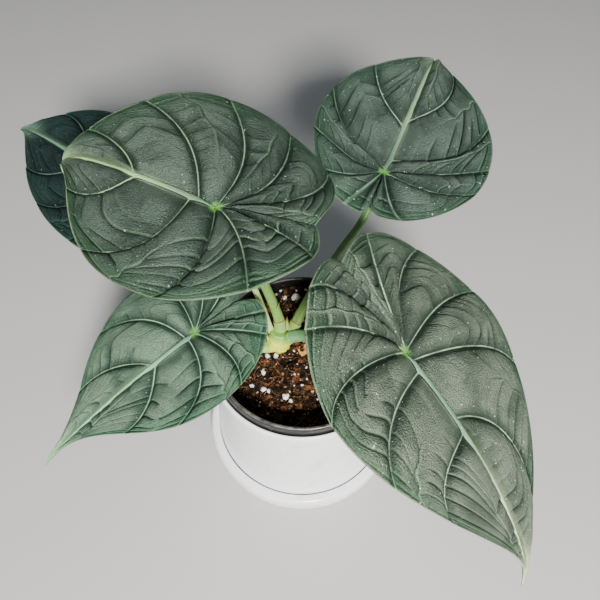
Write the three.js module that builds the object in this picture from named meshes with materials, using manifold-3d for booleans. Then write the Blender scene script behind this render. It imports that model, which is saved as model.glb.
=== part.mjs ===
// Potted grey dragon alocasia in a nursery pot that hangs in a white pot with its saucer.
// Units are millimetres. +Z is up, the saucer's underside is z = 0, the pot's axis is x = y = 0.
// The plant leans over the front (-Y) and the left (-X) as it does when seen from the front.
import * as THREE from "three";
import { mergeVertices } from "three/addons/utils/BufferGeometryUtils.js";
import Module from "manifold-3d";

// Driving dimensions
const GAP = 0.3;               // clearance between pieces that rest on or stand in each other
const RIM_R = 51;              // nursery pot, outer radius of its lip (a 4 inch pot)
const RIM_TOP = 99.5;          // height of the nursery pot's lip above the table
const LIP_DROP = 8.5;          // depth of that lip
const NURSERY_WALL = 1.2;
const NURSERY_FOOT_R = 37;
const NURSERY_FLOOR_Z = 10;
const DRAIN_HOLES = 6;         // holes in the nursery pot's floor
const DRAIN_R = 4;
const DRAIN_RING = 23;         // radius of the ring that the holes stand on
const WHITE_BAND_R = 53.5;     // white pot, thick band at its rim
const WHITE_TOP = 93.3;
const WHITE_BODY_R = 51.6;
const WHITE_FOOT_R = 55.6;     // where the white pot flares out over the saucer
const WHITE_HOLE_R = 5;        // drain hole in the white pot's floor
const SAUCER_R = 62;
const SAUCER_TOP = 12.2;
const SAUCER_FLOOR = 3;
const SOIL_Z = 85.2;           // mean height of the soil
const SOIL_TILT = 0.125;       // the soil lies higher at the back
const SOIL_HEAP = 4.5;         // and is heaped up this much more against the wall there
const BLADE_T = 0.9;           // blade thickness
const RELIEF = 1.3;            // depth of the sunken veins
const BULGE = 1.5;             // rise of the quilted fields between the veins
const RIB_HALF = 1.7;          // half width of the midrib at its broadest
const RIB_RISE = 1.5;          // rise of the midrib out of its furrow
const ALONG = [0, 0.08, 0.2, 0.36, 0.52, 0.68, 0.85, 1];   // stations along a vein
const ACROSS = [0, 0.13, 0.36, 0.64, 0.87, 1];             // stations from vein to vein
const ROUND = 40;              // facets of the pots
const TUBE = 10;               // facets of a stalk

// A blade is drawn flat first: p runs from the stalk's joint to the tip, q to the left of it.
// umbo: the joint. az: compass angle of the tip. slope: fall of the midrib at the joint. bend, curl:
// further fall to the tip, curl starts at curl0. back: the same to the rear. roll, twist: about the
// midrib. vee: rise of the two halves (negative is up). arch: droop to the margins. All in degrees.
// L, R: half width, its station, length of the rear lobe, distance of its end from the midrib.
// sinus: the notch. taper: two shape factors of the tip. veins of each half, from the tip back:
// start on the midrib, a point that pulls the vein (p, q), its end on the outline (0 tip, 3 notch).
const LEAVES = [
  { name: "leaf_blade_1", umbo: [-39, 11, 202], az: 153, slope: -5, roll: 0, bend: 17, curl: 115,
    curl0: 0.6, back: -8, vee: -10, arch: [28, 26], twist: 26, tip: 107, sinus: [-45, -11], hook: 0,
    L: [55, 5, 54, 8], R: [67, 6, 45, 24], taper: [0.4, 0.62],
    veinsL: [[44, 52, 24, 0.38], [13, 6, 44, 0.72], [0, -22, 40, 1.08], [0, -16, 2, 1.56],
      [0, -36, -6, 1.98]],
    veinsR: [[46, 56, -13, 0.3], [10, 28, -35, 0.55], [0, -6, -36, 0.86], [0, -27, -21, 1.14],
      [0, -44, -22, 1.56]] },
  { name: "leaf_blade_2", umbo: [42.5, 58, 179], az: 68, slope: 0, roll: -9, bend: -18, curl: 79,
    curl0: 0.55, back: 23, vee: -16, arch: [23, 23], twist: 0, tip: 112, sinus: [-24, 0], hook: 0,
    L: [47, 25, 29, 5], R: [52, 23, 28, 8], taper: [0.4, 0.57],
    veinsL: [[38, 46, 21, 0.58], [4, 5, 31, 0.88], [0, -10, 13, 1.21], [0, -16, 14, 1.55],
      [0, -14, 5, 1.88]],
    veinsR: [[43, 62, -25, 0.34], [11, 14, -38, 0.75], [0, 2, -24, 0.98], [0, -13, -30, 1.22],
      [0, -23, -9, 1.86]] },
  { name: "leaf_blade_3", umbo: [43.4, -50.4, 179], az: -45, slope: 26, roll: 24, bend: 44, curl: 2,
    curl0: 0.7, back: -10, vee: -8, arch: [5, 29], twist: -20, tip: 146, sinus: [-47, 1], hook: -7,
    L: [64, 8, 50, 20], R: [57, 0, 53, 14], taper: [0.3, 0.28],
    veinsL: [[37, 56, 32, 0.32], [5, 24, 52, 0.71], [0, -8, 44, 1.03], [0, -30, 22, 1.43],
      [0, -26, 12, 1.86]],
    veinsR: [[44, 41, -37, 0.56], [10, 6, -42, 0.77], [0, -20, -46, 1.03], [0, -22, -10, 1.53],
      [0, -44, -5, 1.78]] },
  { name: "leaf_blade_4", umbo: [-58.4, -2.8, 119], az: 215, slope: 14, roll: 6, bend: 17, curl: 13,
    curl0: 0.6, back: 8, vee: -7, arch: [30, 27], twist: 1, tip: 112, sinus: [-28, -1], hook: 0,
    L: [41, 9, 39, 8], R: [49, 5, 40, 18], taper: [0.47, 0.5],
    veinsL: [[28, 42, 23, 0.49], [5, 5, 32, 0.78], [0, -15, 26, 1.18], [0, -12, 5, 1.66],
      [0, -22, 7, 1.9]],
    veinsR: [[30, 48, -20, 0.38], [6, 14, -34, 0.69], [0, -8, -24, 1.05], [0, -22, -14, 1.45],
      [0, -26, -6, 1.85]] },
  { name: "leaf_blade_5", umbo: [-102.3, 72.6, 153.7], az: 142, slope: -8, roll: 15, bend: 19,
    curl: 23, curl0: 0.6, back: 10, vee: -6, arch: [30, 30], twist: 4, tip: 99, sinus: [-28, 0],
    hook: 0, L: [43, 6, 40, 18], R: [44, 7, 40, 18], taper: [0.29, 0.62],
    veinsL: [[28, 44, 25, 0.5], [8, 14, 34, 0.75], [0, -8, 26, 1], [0, -20, 15, 1.4],
      [0, -22, 7, 1.82]],
    veinsR: [[32, 48, -22, 0.45], [8, 14, -32, 0.72], [0, -8, -26, 1], [0, -20, -15, 1.4],
      [0, -22, -7, 1.82]] },
];

// Stalks: points from inside the crown to just under the joint of the blade, radius at the crown and
// at the blade, sheath: extra half width at its foot and how far that runs, stub: length of the part
// that belongs to the crown.
const STALKS = [
  { name: "petiole_1", path: [[-12.9, 13, 88], [-13, 17.4, 97.5], [-19.6, 24, 121], [-30, 24, 158]],
    r: [3.1, 2.2], sheath: [0.3, 16], stub: 9 },
  { name: "petiole_2", path: [[-8, 12.8, 88], [-4, 16.8, 97.5], [6, 28, 114], [21, 37, 140],
    [32.5, 46, 155]], r: [2.9, 2], sheath: [0.6, 22], stub: 9.2 },
  { name: "petiole_3", path: [[-12, 9, 87.5], [-6.5, 9.6, 94.4], [1.7, 7.6, 99.3], [10, 0.5, 106],
    [30, -27, 132], [42, -45, 162]], r: [3.7, 2.3], sheath: [0.1, 12], stub: 9.4 },
  { name: "petiole_4", path: [[-13.5, 9.5, 86], [-23.5, 5, 91], [-38, 0.5, 100.5], [-49, -1.5, 106]],
    r: [3.5, 2], sheath: [0.6, 12], stub: 8.5 },
  { name: "petiole_5", path: [[-15, 11.5, 83], [-18.6, 15.2, 94], [-22.6, 20.5, 108], [-27, 26, 120],
    [-32.5, 31.5, 133], [-50, 41, 137], [-75, 56, 137], [-94, 68, 141]], r: [1.9, 1.5],
    sheath: [0.2, 12], stub: 10 },
];
const CROWN_AT = [-13, 11.5];      // where the trunk stands in the soil
const CROWN_AXES = [8.6, 7.2];     // its half widths
const GRAINS = 30;                 // perlite and crumbs that stand out of the soil
const GRAIN_SPREAD = 43;           // radius that they lie within
const CHIP_SIZE = [10, 7, 2.2];
const CHIP_AT = [2.4, 6, 86.6];

const wasm = await Module();
wasm.setup();

// Small helpers
const clamp = (v, a, b) => Math.min(b, Math.max(a, v));
const rad = (d) => d * Math.PI / 180;
const add = (a, b, k = 1) => a.map((v, i) => v + k * b[i]);
const cross = (a, b) => [a[1] * b[2] - a[2] * b[1], a[2] * b[0] - a[0] * b[2], a[0] * b[1] - a[1] * b[0]];
const unit = (a) => a.map((v) => v / Math.hypot(...a));

// A repeatable random number between 0 and 1.
function seeded(seed) {
  let s = seed;
  return () => {
    s = (s * 1664525 + 1013904223) % 4294967296;
    return s / 4294967296;
  };
}

// A geometry from lists of points and triangles.
function geometryOf(points, faces) {
  const g = new THREE.BufferGeometry();
  g.setAttribute("position", new THREE.BufferAttribute(new Float32Array(points.flat()), 3));
  g.setIndex(faces.flat());
  return g;
}

// A closed geometry as a solid that can be cut and joined.
function toSolid(geometry) {
  const g = geometry.clone();
  g.deleteAttribute("normal");
  g.deleteAttribute("uv");
  const m = mergeVertices(g, 1e-4);
  return new wasm.Manifold(new wasm.Mesh({
    numProp: 3, vertProperties: new Float32Array(m.attributes.position.array),
    triVerts: new Uint32Array(m.index.array),
  }));
}

// Back from a solid to a mesh geometry.
function fromSolid(solid) {
  const m = solid.getMesh();
  const g = new THREE.BufferGeometry();
  g.setAttribute("position", new THREE.BufferAttribute(new Float32Array(m.vertProperties), 3));
  g.setIndex(new THREE.BufferAttribute(new Uint32Array(m.triVerts), 1));
  return g;
}

// A closed ring profile [r, z] turned about the pot's axis.
function turned(profile, facets = ROUND) {
  const loop = [...profile, profile[0]];
  const g = new THREE.LatheGeometry(loop.map(([r, z]) => new THREE.Vector2(r, z)), facets);
  g.rotateX(Math.PI / 2);
  return g;
}

// An upright cylinder from z0 to z1.
function upright(r, z0, z1, x, y, facets = 16) {
  const g = new THREE.CylinderGeometry(r, r, z1 - z0, facets);
  g.rotateX(Math.PI / 2);
  g.translate(x, y, (z0 + z1) / 2);
  return g;
}

// The blade's surface

// A point of a cubic curve through four control points, at t from 0 to 1.
function bezier(c, t) {
  const u = 1 - t;
  const k = [u * u * u, 3 * u * u * t, 3 * u * t * t, t * t * t];
  return [0, 1].map((i) => k[0] * c[0][i] + k[1] * c[1][i] + k[2] * c[2][i] + k[3] * c[3][i]);
}

// Outline of one half: three arcs from the tip over the widest place and the lobe to the notch.
function outline(leaf, side, s) {
  const [w, pw, len, end] = side > 0 ? leaf.L : leaf.R;
  const [a, b] = leaf.taper;
  const n = -leaf.sinus[0];
  const qn = leaf.sinus[1] * side;
  const arcs = [
    [[leaf.tip, 0], [leaf.tip - a * (leaf.tip - pw), 0.02 * w], [pw + b * (leaf.tip - pw), w], [pw, w]],
    [[pw, w], [pw - 0.5 * (pw + len), w], [-len, end + 0.6 * (w - end)], [-len, end]],
    [[-len, end], [-len, end + 0.55 * (qn - end)], [-n - 0.1 * (len - n), qn], [-n, qn]],
  ];
  const i = clamp(Math.floor(s), 0, 2);
  const [p, q] = bezier(arcs[i], s - i);
  return [p, q * side];
}

// The midrib as a table of run and fall, from the rear lobe to the tip.
function midrib(leaf) {
  const steps = 240;
  const from = -Math.max(leaf.L[2], leaf.R[2], -leaf.sinus[0]) - 4;
  const to = leaf.tip + 2;
  const meanLobe = (leaf.L[2] + leaf.R[2]) / 2;
  const fall = (p) => {
    if (p < 0) return rad(leaf.slope) + rad(leaf.back) * (p / meanLobe);
    const c = clamp((p / leaf.tip - leaf.curl0) / (1 - leaf.curl0), 0, 1.1);
    return rad(leaf.slope) + rad(leaf.bend) * (p / leaf.tip) + rad(leaf.curl) * c * c;
  };
  const walk = (end) => {
    const row = [[0, 0]];
    for (let i = 1; i <= steps; i++) {
      const a = fall(end * (i - 0.5) / steps);
      const [h, z] = row[i - 1];
      row.push([h + Math.cos(a) * end / steps, z - Math.sin(a) * end / steps]);
    }
    return row;
  };
  const front = walk(to);
  const rear = walk(from);
  return (p) => {
    const row = p < 0 ? rear : front;
    const x = clamp(p / (p < 0 ? from : to), 0, 1) * steps;
    const i = Math.min(Math.floor(x), steps - 1);
    const k = x - i;
    return [0, 1].map((j) => row[i][j] * (1 - k) + row[i + 1][j] * k).concat(fall(p));
  };
}

// Flat point (p, q) to space: along the bent midrib, then out along an arc to the side.
function bladeSurface(leaf) {
  const rib = midrib(leaf);
  const az = rad(leaf.az);
  const ahead = [Math.cos(az), Math.sin(az), 0];
  const left = [-Math.sin(az), Math.cos(az), 0];
  const width = (leaf.L[0] + leaf.R[0]) / 2;
  return (p, q0) => {
    const [h, z, b] = rib(p);
    const c = clamp((p / leaf.tip - 0.9) / 0.1, 0, 1.1);
    const q = q0 + leaf.hook * c * c;
    const up = [Math.sin(b) * ahead[0], Math.sin(b) * ahead[1], Math.cos(b)];
    const g = rad(leaf.roll) + rad(leaf.twist) * (p / leaf.tip);
    const side = add(left.map((v) => v * Math.cos(g)), up, -Math.sin(g));
    const top = add(up.map((v) => v * Math.cos(g)), left, Math.sin(g));
    const v = rad(leaf.vee);
    const k = rad(q >= 0 ? leaf.arch[0] : leaf.arch[1]) / width;
    const u = Math.abs(q);
    const x = (Math.sin(v + k * u) - Math.sin(v)) / k * Math.sign(q);
    const y = (Math.cos(v + k * u) - Math.cos(v)) / k;
    const base = add(add(leaf.umbo, ahead, h), [0, 0, 1], z);
    return add(add(base, side, x), top, y);
  };
}

// The blade's upward direction at (p, q), from four points close by.
function normalAt(surface, p, q) {
  const e = 0.4;
  const a = add(surface(p + e, q), surface(p - e, q), -1);
  const b = add(surface(p, q + e), surface(p, q - e), -1);
  return unit(cross(a, b));
}

// Half width of the midrib at p: nothing at the joint and at the tip.
function ribHalf(leaf, p) {
  const t = clamp(p / leaf.tip, 0, 1);
  return RIB_HALF * Math.min(1, p / 6) * (1 - 0.85 * t) * Math.min(1, 4 * (1 - t));
}

// Depth of a vein at a, from its start (0) to the margin (1).
const veinDepth = (a) => RELIEF * (1 - a * a * a);

// Height of the quilted blade: furrows at the veins (b is 0 or 1), cushions between them.
function quilt(a, b) {
  const s = Math.pow(4 * b * (1 - b), 0.45);
  const e = Math.pow(2 * a - 1, 4) * (a > 0.5 ? 0.6 : 1);
  return -veinDepth(a) * (1 - s * (1 - e)) + BULGE * s * (1 - e);
}

// The blade: fields between neighbouring veins, both faces triangulated alike, closed by a rim.
function blade(leaf) {
  const flat = [];
  const height = [];
  const seen = new Map();
  const faces = [];
  const vertex = (p, q, h) => {
    const key = `${Math.round(p * 1000)} ${Math.round(q * 1000)}`;
    if (!seen.has(key)) {
      seen.set(key, flat.length);
      flat.push([p, q]);
      height.push(h);
    }
    return seen.get(key);
  };
  const face = (i, j, k, side) => {
    if (i !== j && j !== k && i !== k) faces.push(side > 0 ? [i, k, j] : [i, j, k]);
  };
  const edges = [];
  for (const side of [1, -1]) {
    const list = side > 0 ? leaf.veinsL : leaf.veinsR;
    const first = list[0][0];
    const curves = [{ end: 0, at: (a) => {
      const p = first + a * (leaf.tip - first);
      return [p, side * ribHalf(leaf, p)];
    } }];
    for (const [start, vp, vq, end] of list) {
      const p0 = [start, side * ribHalf(leaf, start)];
      const p2 = outline(leaf, side, end);
      curves.push({ end, at: (a) => [0, 1].map((i) =>
        (1 - a) * (1 - a) * p0[i] + 2 * (1 - a) * a * [vp, vq][i] + a * a * p2[i]) });
    }
    curves.push({ end: 3, at: (a) => leaf.sinus.map((v) => v * a) });
    const edge = ALONG.map((a) => curves[0].at(a)).reverse();
    for (let n = 0; n < curves.length - 1; n++) {
      const [c0, c1] = [curves[n], curves[n + 1]];
      const [m0, m1] = [c0.at(1), c1.at(1)];
      const grid = ALONG.map((a) => ACROSS.map((b) => {
        const rim = outline(leaf, side, c0.end + (c1.end - c0.end) * b);
        const [u, v] = [c0.at(a), c1.at(a)];
        const [p, q] = [0, 1].map((i) => (1 - b) * u[i] + b * v[i]
          + a * a * (rim[i] - (1 - b) * m0[i] - b * m1[i]));
        return vertex(p, q, quilt(a, b));
      }));
      for (let i = 0; i < ALONG.length - 1; i++) {
        for (let j = 0; j < ACROSS.length - 1; j++) {
          const [a, b, c, d] = [grid[i][j], grid[i][j + 1], grid[i + 1][j + 1], grid[i + 1][j]];
          face(a, b, d, side);
          face(b, c, d, side);
        }
      }
      if (n === 1 || n === 2) grid[0].slice(1).forEach((k) => edge.push(flat[k]));
    }
    edges.push(edge);
  }
  // the midrib: a raised strip between the two halves
  const rows = edges[0].map((l, i) => {
    const r = edges[1][i];
    const p = (l[0] + r[0]) / 2;
    const t = clamp(p / leaf.tip, 0, 1);
    const rise = RIB_RISE * (1 - 0.7 * t) * Math.min(1, p / 6) - RELIEF * (1 - t * t * t);
    return [vertex(l[0], l[1], 0), vertex(p, 0, rise), vertex(r[0], r[1], 0)];
  });
  for (let i = 0; i < rows.length - 1; i++) {
    for (const j of [0, 1]) {
      const [a, b, c, d] = [rows[i][j], rows[i][j + 1], rows[i + 1][j + 1], rows[i + 1][j]];
      face(a, b, d, 1);
      face(b, c, d, 1);
    }
  }
  // both faces and the rim
  const surface = bladeSurface(leaf);
  const n = flat.length;
  const ups = flat.map(([p, q]) => normalAt(surface, p, q));
  const tops = flat.map(([p, q], i) => add(surface(p, q), ups[i], height[i]));
  const points = [...tops, ...tops.map((v, i) => add(v, ups[i], -BLADE_T))];
  const all = [...faces, ...faces.map(([a, b, c]) => [a + n, c + n, b + n])];
  const used = new Set(faces.flatMap(([a, b, c]) => [`${a} ${b}`, `${b} ${c}`, `${c} ${a}`]));
  for (const [a, b, c] of faces) {
    for (const [i, j] of [[a, b], [b, c], [c, a]]) {
      if (!used.has(`${j} ${i}`)) all.push([j, i, i + n], [j, i + n, j + n]);
    }
  }
  return geometryOf(points, all);
}

// The stalks

// A smooth line through the points, as evenly spaced places with their direction.
function pathOf(points, step) {
  const curve = new THREE.CatmullRomCurve3(points.map((p) => new THREE.Vector3(...p)), false, "centripetal");
  const count = Math.max(3, Math.round(curve.getLength() / step));
  curve.arcLengthDivisions = 400;
  curve.updateArcLengths();
  const length = curve.getLength();
  const at = (s) => curve.getPointAt(clamp(s / length, 0, 1)).toArray();
  return { length, at, count };
}

// A closed tube along a path between two lengths; radius(s) gives two half widths.
function tube(path, from, to, radius, rings) {
  const points = [];
  const faces = [];
  let side = null;
  for (let i = 0; i <= rings; i++) {
    const s = from + (to - from) * i / rings;
    const dir = unit(add(path.at(Math.min(s + 0.2, path.length)), path.at(Math.max(s - 0.2, 0)), -1));
    const guess = side || [dir[1], -dir[0], 0.001];
    side = unit(add(guess, dir, -(guess[0] * dir[0] + guess[1] * dir[1] + guess[2] * dir[2])));
    const other = cross(dir, side);
    const [ra, rb] = radius(s);
    const mid = path.at(s);
    for (let j = 0; j < TUBE; j++) {
      const t = 2 * Math.PI * j / TUBE;
      points.push(add(add(mid, side, ra * Math.cos(t)), other, rb * Math.sin(t)));
    }
  }
  for (let i = 0; i < rings; i++) {
    for (let j = 0; j < TUBE; j++) {
      const k = (j + 1) % TUBE;
      const [a, b] = [i * TUBE + j, i * TUBE + k];
      faces.push([a, b, b + TUBE], [a, b + TUBE, a + TUBE]);
    }
  }
  for (let j = 1; j < TUBE - 1; j++) {
    faces.push([0, j + 1, j], [rings * TUBE, rings * TUBE + j, rings * TUBE + j + 1]);
  }
  return geometryOf(points, faces);
}

// The stalk's line ends square to the underside of its blade, a gap below it.
function stalkPath(stalk, leaf) {
  const surface = bladeSurface(leaf);
  const up = normalAt(surface, 0, 0);
  const end = add(leaf.umbo, up, -(RELIEF + BLADE_T + GAP));
  return pathOf([...stalk.path, add(end, up, -9), add(end, up, -3), end], 9);
}

// Half widths of a stalk: it thins towards the blade, and its sheath widens it at the foot.
function stalkRadius(stalk, path, extra = 0) {
  return (s) => {
    const t = clamp(s / path.length, 0, 1);
    const r = stalk.r[0] + (stalk.r[1] - stalk.r[0]) * Math.pow(t, 0.8) + extra;
    const w = stalk.sheath[0] * Math.max(0, 1 - Math.max(0, s - stalk.stub) / stalk.sheath[1]);
    return [r + w, r];
  };
}

// The pots

const nurseryTopInner = RIM_R - 2.3 - NURSERY_WALL;

// The saucer, a flat dish with an upright side and a rolled rim.
function saucer() {
  const z = SAUCER_TOP;
  return turned([[0, 0], [SAUCER_R - 1.2, 0], [SAUCER_R - 0.3, 0.8], [SAUCER_R, 4], [SAUCER_R, 9.4],
    [SAUCER_R - 1.2, z - 0.5], [SAUCER_R - 3, z], [WHITE_FOOT_R + 1, z], [WHITE_FOOT_R + 0.4, z - 0.7],
    [54.8, 5], [53.4, SAUCER_FLOOR], [0, SAUCER_FLOOR]]);
}

// The white pot: a flared foot in the saucer, a band at the rim and a ledge inside for the lip.
function whitePot() {
  const under = SAUCER_FLOOR + GAP;
  const body = turned([[0, under], [52.4, under], [54, 5], [WHITE_FOOT_R - 0.3, SAUCER_TOP - 2],
    [WHITE_FOOT_R, SAUCER_TOP + 1.5], [54.6, 22], [53, 33], [WHITE_BODY_R + 0.3, 48], [WHITE_BODY_R, 85.4],
    [WHITE_BAND_R - 0.4, 86.2], [WHITE_BAND_R, 87.4], [WHITE_BAND_R, WHITE_TOP - 1.2],
    [WHITE_BAND_R - 0.7, WHITE_TOP], [RIM_R + 0.9, WHITE_TOP], [RIM_R + 0.6, WHITE_TOP - 0.5],
    [RIM_R + 0.6, RIM_TOP - LIP_DROP - GAP], [WHITE_BODY_R - 2, RIM_TOP - LIP_DROP - GAP],
    [WHITE_BODY_R - 1.8, 48], [51, 33], [52.6, 22], [52.8, 9], [50, 6], [0, 6]]);
  const hole = upright(WHITE_HOLE_R, 0, 8, 0, 0, 20);
  return fromSolid(toSolid(body).subtract(toSolid(hole)));
}

// The nursery pot: a thin tapered wall, a broad lip and holes in its floor.
function nurseryPot() {
  const w = NURSERY_WALL;
  const lipIn = RIM_R - 2.3;
  const body = turned([[0, NURSERY_FLOOR_Z + 1.5], [30, NURSERY_FLOOR_Z + 1.5], [31, NURSERY_FLOOR_Z],
    [NURSERY_FOOT_R - 1, NURSERY_FLOOR_Z], [NURSERY_FOOT_R, NURSERY_FLOOR_Z + 1.2],
    [lipIn, RIM_TOP - LIP_DROP], [RIM_R - 0.2, RIM_TOP - LIP_DROP], [RIM_R, RIM_TOP - LIP_DROP + 1],
    [RIM_R, RIM_TOP - 0.9], [RIM_R - 0.8, RIM_TOP], [lipIn + 0.5, RIM_TOP], [lipIn - 0.2, RIM_TOP - 0.8],
    [lipIn - w, RIM_TOP - LIP_DROP - 1], [NURSERY_FOOT_R - w, NURSERY_FLOOR_Z + 3],
    [0, NURSERY_FLOOR_Z + 3]]);
  let solid = toSolid(body);
  for (let i = 0; i < DRAIN_HOLES; i++) {
    const a = 2 * Math.PI * (i + 0.5) / DRAIN_HOLES;
    const [x, y] = [DRAIN_RING * Math.cos(a), DRAIN_RING * Math.sin(a)];
    solid = solid.subtract(toSolid(upright(DRAIN_R, 5, 20, x, y, 12)));
  }
  return fromSolid(solid);
}

// The soil, the crown and the bark chip

// Mean height of the soil: a tilted plane that is heaped up towards the back.
function soilLevel(y) {
  return SOIL_Z + SOIL_TILT * y + SOIL_HEAP * clamp((y - 20) / 27, 0, 1) ** 2;
}

// Height of the uneven soil.
function soilHeight(x, y) {
  return soilLevel(y) + 0.9 * Math.sin(x / 7.3 + 1) * Math.cos(y / 8.1)
    + 0.5 * Math.sin(x / 2.9 + y / 3.7);
}

// The filled soil: uneven on top, down to the nursery pot's floor, with room for crown and chip.
function soil(crownSpace, chipSpace) {
  const rings = 8;
  const around = 36;
  const innerWall = (z) => {
    const t = Math.min(1, (z - NURSERY_FLOOR_Z - 3) / (RIM_TOP - LIP_DROP - 1 - NURSERY_FLOOR_Z - 3));
    return NURSERY_FOOT_R - NURSERY_WALL + t * (nurseryTopInner - NURSERY_FOOT_R + NURSERY_WALL) - GAP - 0.25;
  };
  const points = [[0, 0, soilHeight(0, 0)]];
  const faces = [];
  const foot = NURSERY_FLOOR_Z + 3 + GAP;
  for (let i = 1; i <= rings + 1; i++) {
    for (let j = 0; j < around; j++) {
      const t = 2 * Math.PI * j / around;
      if (i > rings) {
        points.push([innerWall(foot) * Math.cos(t), innerWall(foot) * Math.sin(t), foot]);
        continue;
      }
      const r = i / rings;
      const edge = innerWall(soilLevel(nurseryTopInner * Math.sin(t)));
      const [x, y] = [r * edge * Math.cos(t), r * edge * Math.sin(t)];
      const fade = i === rings ? 0 : 1;
      points.push([x, y, fade ? soilHeight(x, y) : soilLevel(y) - 0.6]);
    }
  }
  const at = (i, j) => (i === 0 ? 0 : 1 + (i - 1) * around + (j % around));
  for (let j = 0; j < around; j++) {
    faces.push([0, at(1, j), at(1, j + 1)]);
    for (let i = 1; i <= rings; i++) {
      faces.push([at(i, j), at(i + 1, j), at(i + 1, j + 1)], [at(i, j), at(i + 1, j + 1), at(i, j + 1)]);
    }
    if (j > 1) faces.push([at(rings + 1, 0), at(rings + 1, j), at(rings + 1, j - 1)]);
  }
  let solid = toSolid(geometryOf(points, faces));
  // perlite and crumbs: one seeded rule spreads them, each is half sunk in the soil
  const rnd = seeded(11);
  for (let i = 0; i < GRAINS; i++) {
    const r = GRAIN_SPREAD * Math.sqrt(rnd());
    const t = 2 * Math.PI * rnd();
    const size = 1.1 + 1.7 * rnd() * rnd();
    const grain = new THREE.IcosahedronGeometry(size, 0);
    grain.scale(1, 0.85, 0.7);
    grain.rotateZ(6 * rnd());
    const [x, y] = [r * Math.cos(t), r * Math.sin(t)];
    grain.translate(x, y, soilHeight(x, y) + 0.25 * size);
    solid = solid.add(toSolid(grain));
  }
  return fromSolid(solid.subtract(crownSpace).subtract(chipSpace));
}

// The short trunk of the crown, with grow as play all round for its hole in the soil.
function trunk(grow) {
  const [x, y] = CROWN_AT;
  const [a, b] = CROWN_AXES;
  const path = pathOf([[x, y - 0.5, 64 - grow], [x, y, 80], [x + 0.4, y + 0.8, 88],
    [x + 1.2, y + 2.4, 94.5 + grow]], 4);
  const swell = (s) => {
    const t = s / path.length;
    const k = t < 0.6 ? 0.8 + 0.25 * Math.sin(Math.PI * t / 1.2) : 1.05 - 0.95 * (t - 0.6) ** 1.3;
    return [a * k + grow, b * k + grow];
  };
  return toSolid(tube(path, 0, path.length, swell, 9));
}

// The crown: the trunk with a stub of each stalk, cut square where the free stalk begins.
function crown(grow) {
  let solid = trunk(grow);
  const paths = STALKS.map((stalk, i) => stalkPath(stalk, LEAVES[i]));
  for (const [i, stalk] of STALKS.entries()) {
    const r = stalkRadius(stalk, paths[i], grow);
    solid = solid.add(toSolid(tube(paths[i], 0, stalk.stub + 1, r, 4)));
  }
  for (const [i, stalk] of STALKS.entries()) {
    const r = stalkRadius(stalk, paths[i], GAP);
    solid = solid.subtract(toSolid(tube(paths[i], stalk.stub, stalk.stub + 14, r, 5)));
  }
  return solid;
}

// A flake of bark, broader across its middle, lying at a slant.
function chip(grow) {
  const g = new THREE.BoxGeometry(...CHIP_SIZE.map((v) => v + 2 * grow), 2, 1, 1);
  const p = g.attributes.position;
  for (let i = 0; i < p.count; i++) {
    if (Math.abs(p.getX(i)) < 1) p.setY(i, p.getY(i) * 1.15);
    if (p.getX(i) > 1) p.setY(i, p.getY(i) * 0.8);
  }
  g.rotateX(-0.12);
  g.rotateY(0.1);
  g.rotateZ(0.5);
  g.translate(...CHIP_AT);
  return g;
}

// The assembly

const group = new THREE.Group();
group.name = "potted_dragon_alocasia";

// Adds one named piece with its own material.
function put(name, geometry, color, roughness, metalness = 0) {
  const material = new THREE.MeshStandardMaterial({ color, roughness, metalness });
  material.name = name.replace(/_\d$/, "");
  geometry.computeVertexNormals();
  const mesh = new THREE.Mesh(geometry, material);
  mesh.name = name;
  group.add(mesh);
}

put("saucer", saucer(), 0xf1f3f4, 0.3);
put("outer_pot", whitePot(), 0xf4f6f7, 0.28);
put("nursery_pot", nurseryPot(), 0x1b1a1a, 0.4);
put("soil", soil(crown(GAP), toSolid(chip(GAP))), 0x33221a, 0.95);
put("bark_chip", chip(0), 0xb8753f, 0.85);
put("crown", fromSolid(crown(0)), 0xb9cf78, 0.5);
for (const [i, stalk] of STALKS.entries()) {
  const path = stalkPath(stalk, LEAVES[i]);
  put(stalk.name, tube(path, stalk.stub + GAP, path.length, stalkRadius(stalk, path), path.count),
    0x8fae62, 0.5);
}
for (const leaf of LEAVES) put(leaf.name, blade(leaf), 0x54685f, 0.45);

export default group;
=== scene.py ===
"""A potted grey dragon alocasia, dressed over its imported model. Shapes are worked out in millimetres."""

import math

import bpy
import numpy as np
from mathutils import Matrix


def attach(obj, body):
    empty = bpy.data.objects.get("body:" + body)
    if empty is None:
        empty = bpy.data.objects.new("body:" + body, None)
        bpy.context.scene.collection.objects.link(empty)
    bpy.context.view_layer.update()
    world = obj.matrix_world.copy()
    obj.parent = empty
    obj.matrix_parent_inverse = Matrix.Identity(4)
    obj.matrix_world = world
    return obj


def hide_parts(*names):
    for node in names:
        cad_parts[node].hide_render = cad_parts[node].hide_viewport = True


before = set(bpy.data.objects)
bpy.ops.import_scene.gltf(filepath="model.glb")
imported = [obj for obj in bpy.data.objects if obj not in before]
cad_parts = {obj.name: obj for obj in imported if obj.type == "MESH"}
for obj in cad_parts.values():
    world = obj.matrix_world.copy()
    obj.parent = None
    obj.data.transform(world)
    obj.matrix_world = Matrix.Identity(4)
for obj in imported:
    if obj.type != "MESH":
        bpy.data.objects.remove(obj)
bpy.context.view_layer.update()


# Saucer
# A shallow dish of glossy white plastic, injection-moulded in one piece with a rolled rim.
# It stands flat on its underside, and the white pot's foot stands on its floor.

MM = 0.001                     # the meshes are in metres
ROUND = 144                    # steps round a pot
SAUCER_R = 62
SAUCER_TOP = 12.2
SAUCER_FLOOR = 3
WHITE = (0.92, 0.94, 0.96, 1)


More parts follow.
